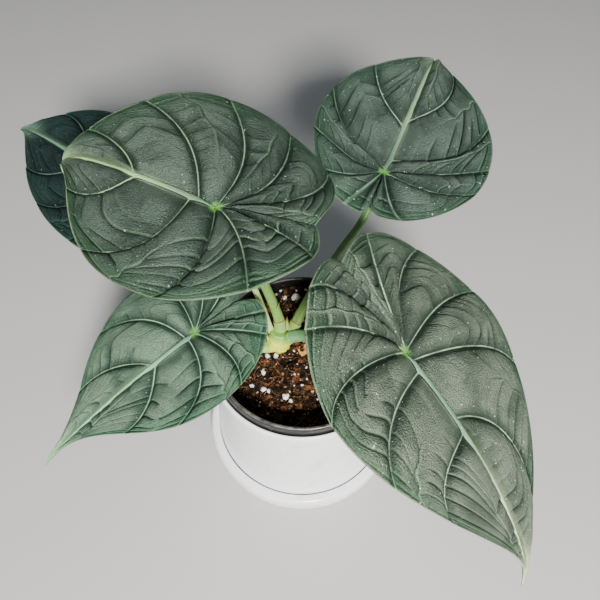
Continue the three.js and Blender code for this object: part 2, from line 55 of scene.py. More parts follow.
def distinct(points, grain):
    """Points that round to the same step of a fine grid count once, with grain steps to a millimetre.
    Returns the number of the first point at each place, and the place of every point."""
    cells = np.round(points * grain).astype(np.int64)
    _, first, place = np.unique(cells, axis=0, return_index=True, return_inverse=True)
    return first, place.reshape(-1)


def whole(triangles):
    """A mask of the triangles that have three different corners."""
    a, b, c = triangles.T
    return (a != b) & (b != c) & (c != a)


def weld(points, triangles):
    """Merges points that fall together and drops the triangles that vanish."""
    points = points.reshape(-1, 3)
    first, place = distinct(points, 1e4)
    triangles = place[triangles]
    return points[first], triangles[whole(triangles)]


def grid_triangles(rows, columns, closed=False, flip=False):
    """Two triangles for each cell of a grid of points; closed joins the last column to the first."""
    i, j = np.meshgrid(np.arange(rows - 1), np.arange(columns - (0 if closed else 1)), indexing="ij")
    k = (j + 1) % columns
    a, b, c, d = i * columns + j, i * columns + k, (i + 1) * columns + k, (i + 1) * columns + j
    triangles = np.stack([np.stack([a, b, c], -1), np.stack([a, c, d], -1)], -2).reshape(-1, 3)
    return triangles[:, ::-1] if flip else triangles


def rounded(profile, radius, steps=4):
    """An outline with its corners rounded: each corner is a quadratic arc that starts and ends
    one radius away from it, or just under half way along a shorter side. Its ends stay."""
    p = np.array(profile, float)
    back, on = p[:-2] - p[1:-1], p[2:] - p[1:-1]
    reach = [np.minimum(radius / np.hypot(*v.T), 0.45)[:, None] * v for v in (back, on)]
    u = np.linspace(0, 1, steps)[None, :, None]
    corner = p[1:-1, None]
    arcs = ((1 - u) ** 2 * (corner + reach[0][:, None]) + 2 * u * (1 - u) * corner
            + u ** 2 * (corner + reach[1][:, None]))
    return np.vstack([p[:1], arcs.reshape(-1, 2), p[-1:]])


def circle(steps, start=0.0):
    """Equal steps round a full turn: the angles, their cosines and their sines."""
    angle = (np.arange(steps) + start) * 2 * math.pi / steps
    return angle, np.cos(angle), np.sin(angle)


def ringed(points, flip=False):
    """A tube through closed rings of points, in an array of rings by steps by three numbers."""
    return weld(points, grid_triangles(*points.shape[:2], closed=True, flip=flip))


def turned(profile, steps=ROUND):
    """A profile of radius and height, carried round the pot's axis in equal steps."""
    _, cos, sin = circle(steps)
    r, z = profile[:, :1], profile[:, 1:]
    return ringed(np.stack([r * cos, r * sin, z + 0 * cos], -1))


def new_object(name, data):
    """A new object of the scene, at the origin."""
    thing = bpy.data.objects.new(name, data)
    bpy.context.scene.collection.objects.link(thing)
    return thing


def new_piece(name, points, triangles, materials, slot, stands_for=(), part=0.0, marks=None):
    """A smooth-shaded mesh from points in millimetres. part is each triangle's material number,
    marks are named numbers or vectors kept on its points for the materials to read."""
    mesh = bpy.data.meshes.new(name)
    mesh.from_pydata(points * MM, [], triangles, shade_flat=False)
    for material in materials:
        mesh.materials.append(material)
    mesh.polygons.foreach_set("material_index", (np.zeros(len(triangles)) + part).astype(np.int32))
    for key, values in (marks or {}).items():
        kind, item = ("FLOAT", "value") if values.ndim == 1 else ("FLOAT_VECTOR", "vector")
        layer = mesh.attributes.new(key, kind, "POINT").data
        layer.foreach_set(item, values.astype(np.float32).ravel())
    piece = new_object(name, mesh)
    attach(piece, "root")
    if stands_for:
        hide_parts(*stands_for)
    return piece


def put(tree, kind, inputs=None, **settings):
    """A shader node with its settings; each input is a plain value or a wire from another node."""
    node = tree.nodes.new(kind)
    for key, value in settings.items():
        setattr(node, key, value)
    for key, value in (inputs or {}).items():
        if isinstance(value, Wire):
            tree.links.new(value.socket, node.inputs[key])
        else:
            node.inputs[key].default_value = value
    return node


class Wire:
    """An output of a shader node. +, - and * make Math nodes, and each method makes the node that it
    says in the same tree and gives that node's output."""

    def __init__(self, socket):
        self.socket = socket

    def node(self, kind, inputs, output=0, **settings):
        """One output of a new node, with its inputs and settings."""
        return Wire(put(self.socket.id_data, kind, inputs, **settings).outputs[output])

    def math(self, operation, other=0.0):
        """A Math node on this value and another."""
        return self.node("ShaderNodeMath", {0: self, 1: other}, operation=operation)

    def __add__(self, other):
        return self.math("ADD", other)

    def __sub__(self, other):
        return self.math("SUBTRACT", other)

    def __mul__(self, other):
        return self.math("MULTIPLY", other)

    def split(self):
        """The three numbers of a vector."""
        parts = put(self.socket.id_data, "ShaderNodeSeparateXYZ", {0: self})
        return [Wire(socket) for socket in parts.outputs]

    def fade(self, start, end, low=0.0, high=1.0):
        """low where this value is at start, high where it is at end, and a smooth step between them."""
        return self.node("ShaderNodeMapRange", {"Value": self, "From Min": start, "From Max": end,
                                                "To Min": low, "To Max": high},
                         interpolation_type="SMOOTHSTEP")

    def blend(self, first, second):
        """A mix of two colours: all of the second where this value is one."""
        return self.node("ShaderNodeMix", {0: self, 6: first, 7: second}, 2, data_type="RGBA")

    def tinted(self, share, tint):
        """This colour, multiplied by a tint as far as the share says."""
        return self.node("ShaderNodeMix", {0: share, 6: self, 7: tint}, 2, data_type="RGBA",
                         blend_type="MULTIPLY")

    def noise(self, scale, detail=3.0, roughness=0.5, distortion=0.0):
        """A cloudy value round one half at this place, with its blotches one over scale across."""
        return self.node("ShaderNodeTexNoise", {"Vector": self, "Scale": scale, "Detail": detail,
                                                "Roughness": roughness, "Distortion": distortion})


def object_place(tree):
    """The place on the piece, in metres."""
    return Wire(put(tree, "ShaderNodeTexCoord").outputs["Object"])


def node_group(name, outputs=("Color", "Roughness", "Height"), **inputs):
    """Makes a shader node group out of the function below it, once. The named inputs have their start
    values here: a number, a vector or a colour. The function is given the group and a wire from each
    input, and returns a wire for each named output."""
    def build(make):
        group = bpy.data.node_groups.new(name, "ShaderNodeTree")
        for key, value in inputs.items():
            kind = {1: "NodeSocketFloat", 3: "NodeSocketVector", 4: "NodeSocketColor"}[np.size(value)]
            group.interface.new_socket(key, in_out="INPUT", socket_type=kind).default_value = value
        for key in outputs:
            kind = "NodeSocketColor" if key == "Color" else "NodeSocketFloat"
            group.interface.new_socket(key, in_out="OUTPUT", socket_type=kind)
        entry = put(group, "NodeGroupInput")
        found = make(group, *(Wire(entry.outputs[key]) for key in inputs))
        put(group, "NodeGroupOutput", dict(zip(outputs, found)))
        return group
    return build


def new_material(name, **sockets):
    """A material with one Principled shader, whose sockets are set."""
    material = bpy.data.materials.new(name)
    material.use_nodes = True
    shader = material.node_tree.nodes["Principled BSDF"]
    for key, value in sockets.items():
        shader.inputs[key.replace("_", " ")].default_value = value
    return material


def dress(material, colour, roughness, height, strength, distance):
    """Links a colour, a roughness and, through a Bump node, a height to the material's shader."""
    tree = material.node_tree
    bump = put(tree, "ShaderNodeBump", {"Height": height, "Strength": strength, "Distance": distance})
    shader = tree.nodes["Principled BSDF"]
    tree.links.new(colour.socket, shader.inputs["Base Color"])
    tree.links.new(roughness.socket, shader.inputs["Roughness"])
    tree.links.new(bump.outputs[0], shader.inputs["Normal"])
    return material


def from_group(name, group, values, strength, distance, **sockets):
    """A material whose colour, roughness and height a node group gives, placed with its own values."""
    material = new_material(name, **sockets)
    node = put(material.node_tree, "ShaderNodeGroup", values, node_tree=group)
    return dress(material, *(Wire(socket) for socket in node.outputs), strength, distance)


@node_group("moulded white plastic", Clean=0.012, Dirty=0.0)
def MOULDED(group, clean, dirty):
    """A faint ripple from the mould, and a trace of dirt from the height Dirty, in metres, to Clean."""
    where = object_place(group)
    grime = where.noise(60, 4).fade(0.5, 0.75) * where.split()[2].fade(dirty, clean)
    colour = (grime * 0.25).blend(WHITE, (0.45, 0.40, 0.34, 1))
    return colour, where.noise(220, 2).fade(0.3, 0.7, 0.2, 0.3), where.noise(140, 2)


def white_plastic(name, clean, dirty):
    """Glossy white plastic under a thin clear skin."""
    return from_group(name, MOULDED, {"Clean": clean, "Dirty": dirty}, 0.06, 0.0004,
                      Coat_Weight=0.35, Coat_Roughness=0.12, IOR=1.49)


SAUCER_PROFILE = [[0, 0], [SAUCER_R - 1.2, 0], [SAUCER_R - 0.3, 0.8], [SAUCER_R, 4], [SAUCER_R, 9.4],
                  [SAUCER_R - 1.2, SAUCER_TOP - 0.5], [SAUCER_R - 3, SAUCER_TOP], [56.6, SAUCER_TOP],
                  [56, SAUCER_TOP - 0.7], [54.8, 5], [53.4, SAUCER_FLOOR], [0, SAUCER_FLOOR]]
new_piece("saucer_fine", *turned(rounded(SAUCER_PROFILE, 2.2)),
          [white_plastic("saucer plastic", 0.012, 0.0)], "white_plastic", ["saucer"])


# White pot
# A cylinder of the same white plastic: a flared foot, a straight wall and a thick band at the rim.
# It stands in the saucer, and a ledge inside the band carries the nursery pot's lip.

WHITE_TOP = 93.3
BAND_R = 53.5
LEDGE_Z = 90.7
POT_PROFILE = [[5, 6], [5, 3.3], [52.4, 3.3], [54, 5], [55.3, 10.2], [55.6, 13.7], [54.6, 22], [53, 33],
               [51.9, 48], [51.6, 85.4], [53.1, 86.2], [BAND_R, 87.4], [BAND_R, WHITE_TOP - 1.2],
               [52.8, WHITE_TOP], [51.9, WHITE_TOP], [51.6, WHITE_TOP - 0.5], [51.6, LEDGE_Z],
               [49.6, LEDGE_Z], [49.8, 48], [51, 33], [52.6, 22], [52.8, 9], [50, 6], [5, 6]]
new_piece("white_pot_fine", *turned(rounded(POT_PROFILE, 1.6)),
          [white_plastic("pot plastic", 0.02, 0.012)], "white_plastic", ["outer_pot"])


# Nursery pot
# A grower's pot of thin black plastic, drawn over a mould: a tapered wall, a broad lip and six
# drain holes in its floor. It hangs by the lip inside the white pot.

LIP_R = 51
LIP_TOP = 99.5
INNER_FOOT = (35.8, 13)        # where the wall's inside starts, and where it ends
INNER_TOP = (47.5, 90)
DRAIN_R = 4
DRAIN_RING = 23
DRAIN_HOLES = 6
NURSERY_PROFILE = [[0, 11.5], [30, 11.5], [31, 10], [36, 10], [37, 11.2], [48.7, 91], [LIP_R - 0.2, 91],
                   [LIP_R, 92], [LIP_R, LIP_TOP - 0.9], [LIP_R - 0.8, LIP_TOP], [LIP_R - 1.8, LIP_TOP],
                   [48.5, LIP_TOP - 0.8], INNER_TOP, INNER_FOOT, [0, INNER_FOOT[1]]]


@node_group("dust specks", ["Mask"], Where=(0, 0, 0), Scale=0.3, Share=0.3, Size=0.12)
def DUST(group, where, scale, share, size):
    """In each cell of a scattered pattern, a round speck of its own size, or none."""
    cell = put(group, "ShaderNodeTexVoronoi", {"Vector": where, "Scale": scale})
    first, second, _ = Wire(cell.outputs["Color"]).split()
    inside = Wire(cell.outputs["Distance"]).math("LESS_THAN", size * second.fade(0, 1, 0.35, 1))
    return [inside * first.math("LESS_THAN", share)]


def specks(where, scale, share, size):
    """The mask of the dust group, placed at a place of a material."""
    return where.node("ShaderNodeGroup", {"Where": where, "Scale": scale, "Share": share, "Size": size},
                      node_tree=DUST)


def black_plastic():
    """Thin black plastic, satin, grey in patches along the top of the lip, with crumbs of soil dust."""
    material = new_material("nursery pot plastic", IOR=1.5)
    where = object_place(material.node_tree)
    height = where.split()[2]
    lip = height.fade((LIP_TOP - 0.9) * MM, (LIP_TOP - 0.1) * MM)
    grey_lip_patches = lip * where.noise(90, 5, 0.7).fade(0.35, 0.7)
    colour = grey_lip_patches.blend((0.010, 0.010, 0.011, 1), (0.17, 0.16, 0.15, 1))
    dust = specks(where, 420, 0.16, 0.3) * height.fade(0.088, 0.093)
    colour = dust.blend(colour, (0.12, 0.07, 0.04, 1))
    rough = where.noise(160, 4).fade(0.3, 0.7, 0.28, 0.5)
    return dress(material, colour, rough, where.noise(300, 3), 0.12, 0.0005)


def apply_modifiers(piece):
    """The piece's mesh is replaced by the one that its modifiers give, and they are removed."""
    view = bpy.context.evaluated_depsgraph_get()
    done = bpy.data.meshes.new_from_object(piece.evaluated_get(view))
    piece.modifiers.clear()
    old = piece.data
    piece.data = done
    bpy.data.meshes.remove(old)


def copies(triangles, size, count):
    """The triangles of one shape of size points, repeated for count shapes."""
    return (triangles + size * np.arange(count)[:, None, None]).reshape(-1, 3)


def cut(piece, tool_points, tool_triangles):
    """Cuts a closed shape out of a piece with a Boolean modifier, which is applied."""
    mesh = bpy.data.meshes.new("cutter")
    mesh.from_pydata((tool_points * MM).tolist(), [], tool_triangles.tolist())
    tool = new_object("cutter", mesh)
    piece.modifiers.new("holes", "BOOLEAN").object = tool
    piece.modifiers["holes"].operation = "DIFFERENCE"
    apply_modifiers(piece)
    bpy.data.objects.remove(tool)


nursery_pot = new_piece("nursery_pot_fine", *turned(rounded(NURSERY_PROFILE, 0.8)), [black_plastic()],
                        "black_plastic", ["nursery_pot"])
pin, pin_faces = turned(np.array([[0, 5], [DRAIN_R, 5], [DRAIN_R, 20], [0, 20]], float), 24)
_, cos, sin = circle(DRAIN_HOLES, 0.5)
pins = pin + DRAIN_RING * np.stack([cos, sin, 0 * cos], -1)[:, None]
cut(nursery_pot, pins.reshape(-1, 3), copies(pin_faces, len(pin), DRAIN_HOLES))


# Soil
# Potting mix: dark peat and coir crumbs, short orange-brown fibres and grains of white perlite.
# It is poured in, heaped a little at the back, and stops about 14 mm under the lip in the middle.

SOIL_Z = 85.2                  # height in the middle
SOIL_TILT = 0.125
SOIL_HEAP = 4.5                # rise at the back
SOIL_FOOT = 13.3
SOIL_R = 46                    # radius at which it meets the wall
SOIL_EDGE = 44.5               # the loose bits lie within this radius
SOIL_SEED = 5
SOIL_RINGS = 84
SOIL_ROUND = 200               # steps round the soil
CHIP_AT = (2.4, 6, 86.6)       # the bark chip's middle; the soil is calmer there
KNOTS = 128                    # knots along a side of a noise lattice, before it repeats
FIBRES = 240
FIBRE_STEPS = 9
LOOSE_PERLITE = 34
# The large perlite grains that show: x, y and radius
PERLITE = [[-20.4, 2.8, 2.3], [-15.4, 2.6, 1.7], [-22.6, -7.8, 1.8], [-29, -15.8, 1.3], [-22.3, -18.4, 2.5],
           [-19.2, -19.8, 1.5], [-9.4, -22.3, 2.7], [-6.6, -26, 1.5], [0, -15.9, 0.9], [2.7, -5.2, 0.9],
           [2.7, -11.2, 0.9], [0.6, 26, 1.1], [-3.9, 40.4, 3.3], [-10.4, 39.8, 1.9], [-16.2, 42.5, 1.3],
           [2.5, 44, 1.2], [-13.1, 44, 1.0], [-3.4, 44.4, 0.9]]


def ease(v, low=0, high=1):
    """0 at low and beyond it, 1 at high and beyond, and a smooth step between them."""
    t = np.clip((v - low) / (high - low), 0, 1)
    return t * t * (3 - 2 * t)


def lattice(x, y, cell, seed):
    """Smooth noise from 0 to 1: random heights on a square lattice, eased between its knots."""
    knots = np.random.default_rng(seed).random((KNOTS, KNOTS))
    u, v = x / cell, y / cell
    i, j = np.floor(u).astype(int), np.floor(v).astype(int)
    s, t = ease(u - i), ease(v - j)
    a, b, c, d = (knots[(i + m) % KNOTS, (j + n) % KNOTS] for m, n in ((0, 0), (1, 0), (0, 1), (1, 1)))
    return (a * (1 - s) + b * s) * (1 - t) + (c * (1 - s) + d * s) * t


def soil_level(y):
    """Mean height: a tilted plane that is heaped up towards the back."""
    return SOIL_Z + SOIL_TILT * y + SOIL_HEAP * np.clip((y - 20) / 27, 0, 1) ** 2


def soil_height(x, y):
    """The mean height with two gentle waves, as the solid has, and clods of three sizes, which are
    lower round the bark chip."""
    base = soil_level(y) + 0.9 * np.sin(x / 7.3 + 1) * np.cos(y / 8.1) + 0.5 * np.sin(x / 2.9 + y / 3.7)
    calm = 1 - 0.85 * np.exp(-((x - CHIP_AT[0]) ** 2 + (y - CHIP_AT[1]) ** 2) / 40)
    clods = enumerate([(7.0, 2.6), (2.3, 1.9), (1.1, 1.0)])
    return base + calm * sum(size * (lattice(x, y, cell, 7 + k) - 0.6) for k, (cell, size) in clods)


def wall_inside(z):
    """Radius just inside the nursery pot's wall at a height."""
    (low_r, low_z), (high_r, high_z) = INNER_FOOT, INNER_TOP
    return low_r + np.minimum(1, (z - low_z) / (high_z - low_z)) * (high_r - low_r) - 0.4


def soil_block():
    """Rings of points from the middle to the wall, then down the wall and back to the middle."""
    _, cos, sin = circle(SOIL_ROUND)
    edge = wall_inside(soil_level(SOIL_R * sin))
    r = np.linspace(0, 1, SOIL_RINGS)[:, None] * edge
    z = soil_height(r * cos, r * sin)
    z[0] = z[0].mean()
    down = np.array([60, 30, SOIL_FOOT, SOIL_FOOT])[:, None]
    foot = wall_inside(down) * [[1], [1], [1], [0]]
    r = np.vstack([r, np.repeat(foot, SOIL_ROUND, 1)])
    z = np.vstack([z, np.repeat(down, SOIL_ROUND, 1)])
    return ringed(np.stack([r * cos, r * sin, z], -1), flip=True)


def unit(vectors):
    """Each vector divided by its length."""
    return vectors / np.linalg.norm(vectors, axis=-1, keepdims=True)


def ball(level):
    """An octahedron with each face cut in four, level times, and its points pushed out to a sphere."""
    points = np.array([[1, 0, 0], [-1, 0, 0], [0, 1, 0], [0, -1, 0], [0, 0, 1], [0, 0, -1]], float)
    faces = np.array([[0, 2, 4], [2, 1, 4], [1, 3, 4], [3, 0, 4],
                      [2, 0, 5], [1, 2, 5], [3, 1, 5], [0, 3, 5]])
    for _ in range(level):
        a, b, c = (points[faces[:, k]] for k in range(3))
        ab, bc, ca = (a + b) / 2, (b + c) / 2, (c + a) / 2
        quads = [[a, ab, ca], [ab, b, bc], [ca, bc, c], [ab, bc, ca]]
        points = np.stack([np.stack(q, 1) for q in quads], 1).reshape(-1, 3)
        points, faces = weld(points, np.arange(len(points)).reshape(-1, 3))
    return unit(points), faces


def turns(rng, count):
    """As many random rotations as asked, as matrices from random unit quaternions."""
    w, x, y, z = unit(rng.normal(size=(count, 4))).T
    rows = [1 - 2 * (y * y + z * z), 2 * (x * y - w * z), 2 * (x * z + w * y),
            2 * (x * y + w * z), 1 - 2 * (x * x + z * z), 2 * (y * z - w * x),
            2 * (x * z - w * y), 2 * (y * z + w * x), 1 - 2 * (x * x + y * y)]
    return np.stack(rows, -1).reshape(-1, 3, 3)


def lumps(rng, places, sizes, level, flatness, knobbly=0.34):
    """Knobbly balls: each point is pushed in or out at random, then each ball is squashed by its own
    three factors, turned and set in its place."""
    points, faces = ball(level)
    count = len(places)
    knobs = 1 + knobbly * (rng.random((count, len(points), 1)) - 0.5)
    squash = 1 - flatness * rng.random((count, 1, 3))
    shaped = np.einsum("nij,nkj->nki", turns(rng, count), points[None] * knobs * squash)
    shaped = shaped * sizes[:, None, None] + places[:, None]
    return shaped.reshape(-1, 3), copies(faces, len(points), count)


def scattered(rng, count, reach):
    """Random places on the soil within a radius, by an even draw over the disc."""
    r, angle = reach * np.sqrt(rng.random(count)), 2 * math.pi * rng.random(count)
    x, y = r * np.cos(angle), r * np.sin(angle)
    return np.stack([x, y, soil_height(x, y)], -1)


def sweep(lines, radius, sides=5):
    """Closed tubes along many lines at once. lines has the shape (tube, step, 3) and radius (tube,
    step): round each point a ring square to the line, its first and last drawn to a point."""
    ahead = unit(np.gradient(lines, axis=1))
    side = unit(np.cross(ahead, [0.13, 0.21, 0.97]))
    other = np.cross(ahead, side)
    _, cos, sin = circle(sides)
    across = cos[:, None] * side[:, :, None] + sin[:, None] * other[:, :, None]
    tubes, steps = radius.shape
    closed = np.ones(steps)
    closed[[0, -1]] = 0
    points = lines[:, :, None] + (radius * closed)[..., None, None] * across
    one = grid_triangles(steps, sides, closed=True)
    return weld(points, copies(one, steps * sides, tubes))


@node_group("moist crumbs", Dark=(0.01, 0.01, 0.01, 1), Light=(0.1, 0.1, 0.1, 1), Rust=(0.2, 0.1, 0.05, 1))
def MOIST_CRUMBS(group, dark, light, rust):
    """A dark colour with lighter and rusty blotches, dull, and rough at two scales."""
    where = object_place(group)
    colour = where.noise(380, 5, 0.7).fade(0.45, 0.66).blend(dark, light)
    colour = where.noise(210, 3, 0.6).fade(0.56, 0.66).blend(colour, rust)
    return colour, where.noise(500, 3).fade(0.3, 0.7, 0.62, 0.95), where.noise(900, 5, 0.7)


def soil_material(name, dark, light, rust):
    """A part of the potting mix, by its three colours."""
    return from_group(name, MOIST_CRUMBS, {"Dark": dark, "Light": light, "Rust": rust}, 0.8, 0.0008, IOR=1.25)


def perlite_material():
    """Puffed white glass: chalky, its hollows painted darker and browner, partly as shade in them and partly
    as a stain from the peat.
    """
    material = new_material("perlite", Subsurface_Weight=0.15, Subsurface_Scale=0.001)
    pores = object_place(material.node_tree).noise(1300, 4, 0.6).fade(0.24, 0.52)
    # painted shade, with a little peat stain: the colour darkens where the grain's surface dips
    colour = pores.blend((0.52, 0.45, 0.37, 1), (0.93, 0.91, 0.86, 1))
    return dress(material, colour, pores.fade(0, 1, 0.9, 0.6), pores, 0.7, 0.0005)


PEAT = soil_material("peat", (0.003, 0.002, 0.001, 1), (0.052, 0.026, 0.012, 1), (0.16, 0.062, 0.022, 1))
COIR = soil_material("coir fibre", (0.08, 0.032, 0.012, 1), (0.46, 0.24, 0.12, 1), (0.24, 0.10, 0.035, 1))
CHAFF = soil_material("pale bark dust", (0.30, 0.17, 0.10, 1), (0.82, 0.62, 0.46, 1), (0.60, 0.38, 0.22, 1))
new_piece("soil_fine", *soil_block(), [PEAT], "soil", ["soil"])

# Name, count, radius that they lie within, rise above the soil, least size, how much more that may be
# and the power of its draw, flatness and material
LOOSE = [("soil_crumbs", 1500, SOIL_EDGE, -0.1, 0.45, 1.5, 3, 0.55, PEAT),
         ("soil_bark_bits", 120, 43, 0.2, 0.8, 1.3, 1, 0.8, COIR),
         ("soil_flecks", 420, 44, 0.5, 0.25, 0.5, 1, 0.8, CHAFF)]
rng = np.random.default_rng(SOIL_SEED)
for name, count, reach, rise, least, more, power, flatness, material in LOOSE:
    places = scattered(rng, count, reach) + [0, 0, rise]
    sizes = least + more * rng.random(count) ** power
    new_piece(name, *lumps(rng, places, sizes, 1, flatness), [material], "soil")

x, y, radius = np.array(PERLITE).T
places = np.vstack([np.stack([x, y, soil_height(x, y)], -1), scattered(rng, LOOSE_PERLITE, 43)])
sizes = np.concatenate([radius, 0.4 + 0.7 * rng.random(LOOSE_PERLITE)])
grains = lumps(rng, places + [0, 0, 0.35], sizes, 2, 0.45, 0.55)
new_piece("perlite_grains", *grains, [perlite_material()], "soil")

starts = scattered(rng, FIBRES, 42)[:, None]
step = np.linspace(-0.5, 0.5, FIBRE_STEPS)
length = 4 + 7 * rng.random((FIBRES, 1))
heading = 2 * math.pi * rng.random((FIBRES, 1))
bow = rng.normal(0, 1.6, (FIBRES, 1))
along, aside = length * step, bow * (0.25 - step ** 2) * 4
fibres = np.stack([along * np.cos(heading) - aside * np.sin(heading),
                   along * np.sin(heading) + aside * np.cos(heading), 0 * along], -1) + starts
fibres[..., :2] *= np.minimum(1, SOIL_EDGE / np.hypot(fibres[..., 0], fibres[..., 1]))[..., None]
fibres[..., 2] = soil_height(fibres[..., 0], fibres[..., 1]) + 0.55 + 0.5 * rng.random((FIBRES, 1))
thick = (0.08 + 0.13 * rng.random((FIBRES, 1))) * np.ones(FIBRE_STEPS)
new_piece("coir_fibres", *sweep(fibres, thick), [COIR], "soil")


# Bark chip
# A flake of orange-brown pine bark, broken off along its layers, half sunk beside the crown.

CHIP_SIZE = (10, 7, 2.2)
CHIP_TURN = 0.5


def flake():
    """A ball pressed to a slab by a high power of its direction, roughened along its layers."""
    points, faces = ball(5)
    slab = np.sign(points) * np.abs(points) ** 0.55
    slab /= np.abs(slab).max(1).reshape(-1, 1) ** 0.4
    ragged = 1 + 0.16 * (lattice(points[:, 0] * 8, points[:, 1] * 8, 1.6, 31) - 0.5)
    body = slab * ragged[:, None] * np.array(CHIP_SIZE) / 2 * 0.92
    layer = 0.35 * (lattice(body[:, 0] * 0.7, body[:, 1] * 3.2, 1.0, 33) - 0.5)
    body[:, 2] += layer + 0.03 * body[:, 0] ** 2 * 0.3
    c, s = math.cos(CHIP_TURN), math.sin(CHIP_TURN)
    turn = np.array([[c, -s, 0], [s, c, 0], [0, 0, 1]])
    lean = np.array([[1, 0, -0.1], [0, 1, 0.12], [0.1, -0.12, 1]])
    return body @ (turn @ lean).T + np.array(CHIP_AT), faces


def bark_material():
    """Bark: rust and tan layers that run along the flake, dull and furrowed."""
    material = new_material("pine bark", IOR=1.4)
    where = object_place(material.node_tree)
    layers = where.node("ShaderNodeMapping", {"Vector": where, "Rotation": (0, 0, -CHIP_TURN),
                                              "Scale": (120, 520, 400)}).noise(1, 5, 0.65, 0.6)
    colour = layers.fade(0.32, 0.62).blend((0.45, 0.16, 0.03, 1), (1.0, 0.50, 0.13, 1))
    return dress(material, colour, layers.fade(0.3, 0.7, 0.9, 0.65), layers, 0.8, 0.001)


new_piece("bark_chip_fine", *flake(), [bark_material()], "bark", ["bark_chip"])


# Leaf stalks
# Five fleshy stalks, round and thinning towards the blade, each with a sheath at its foot.
# Living tissue: they grow out of the crown, and each runs into the underside of its blade.

GAP = 0.3                      # between a stalk's end and its blade
RELIEF = 1.3                   # depth of the furrows in which the veins lie
BLADE_T = 0.9
SWELL = 4                      # length over which a stalk swells into its blade
RING_STEP = 1.3                # between the rings of a stalk
FALL_STEPS = 240               # steps in which a midrib's fall is added up
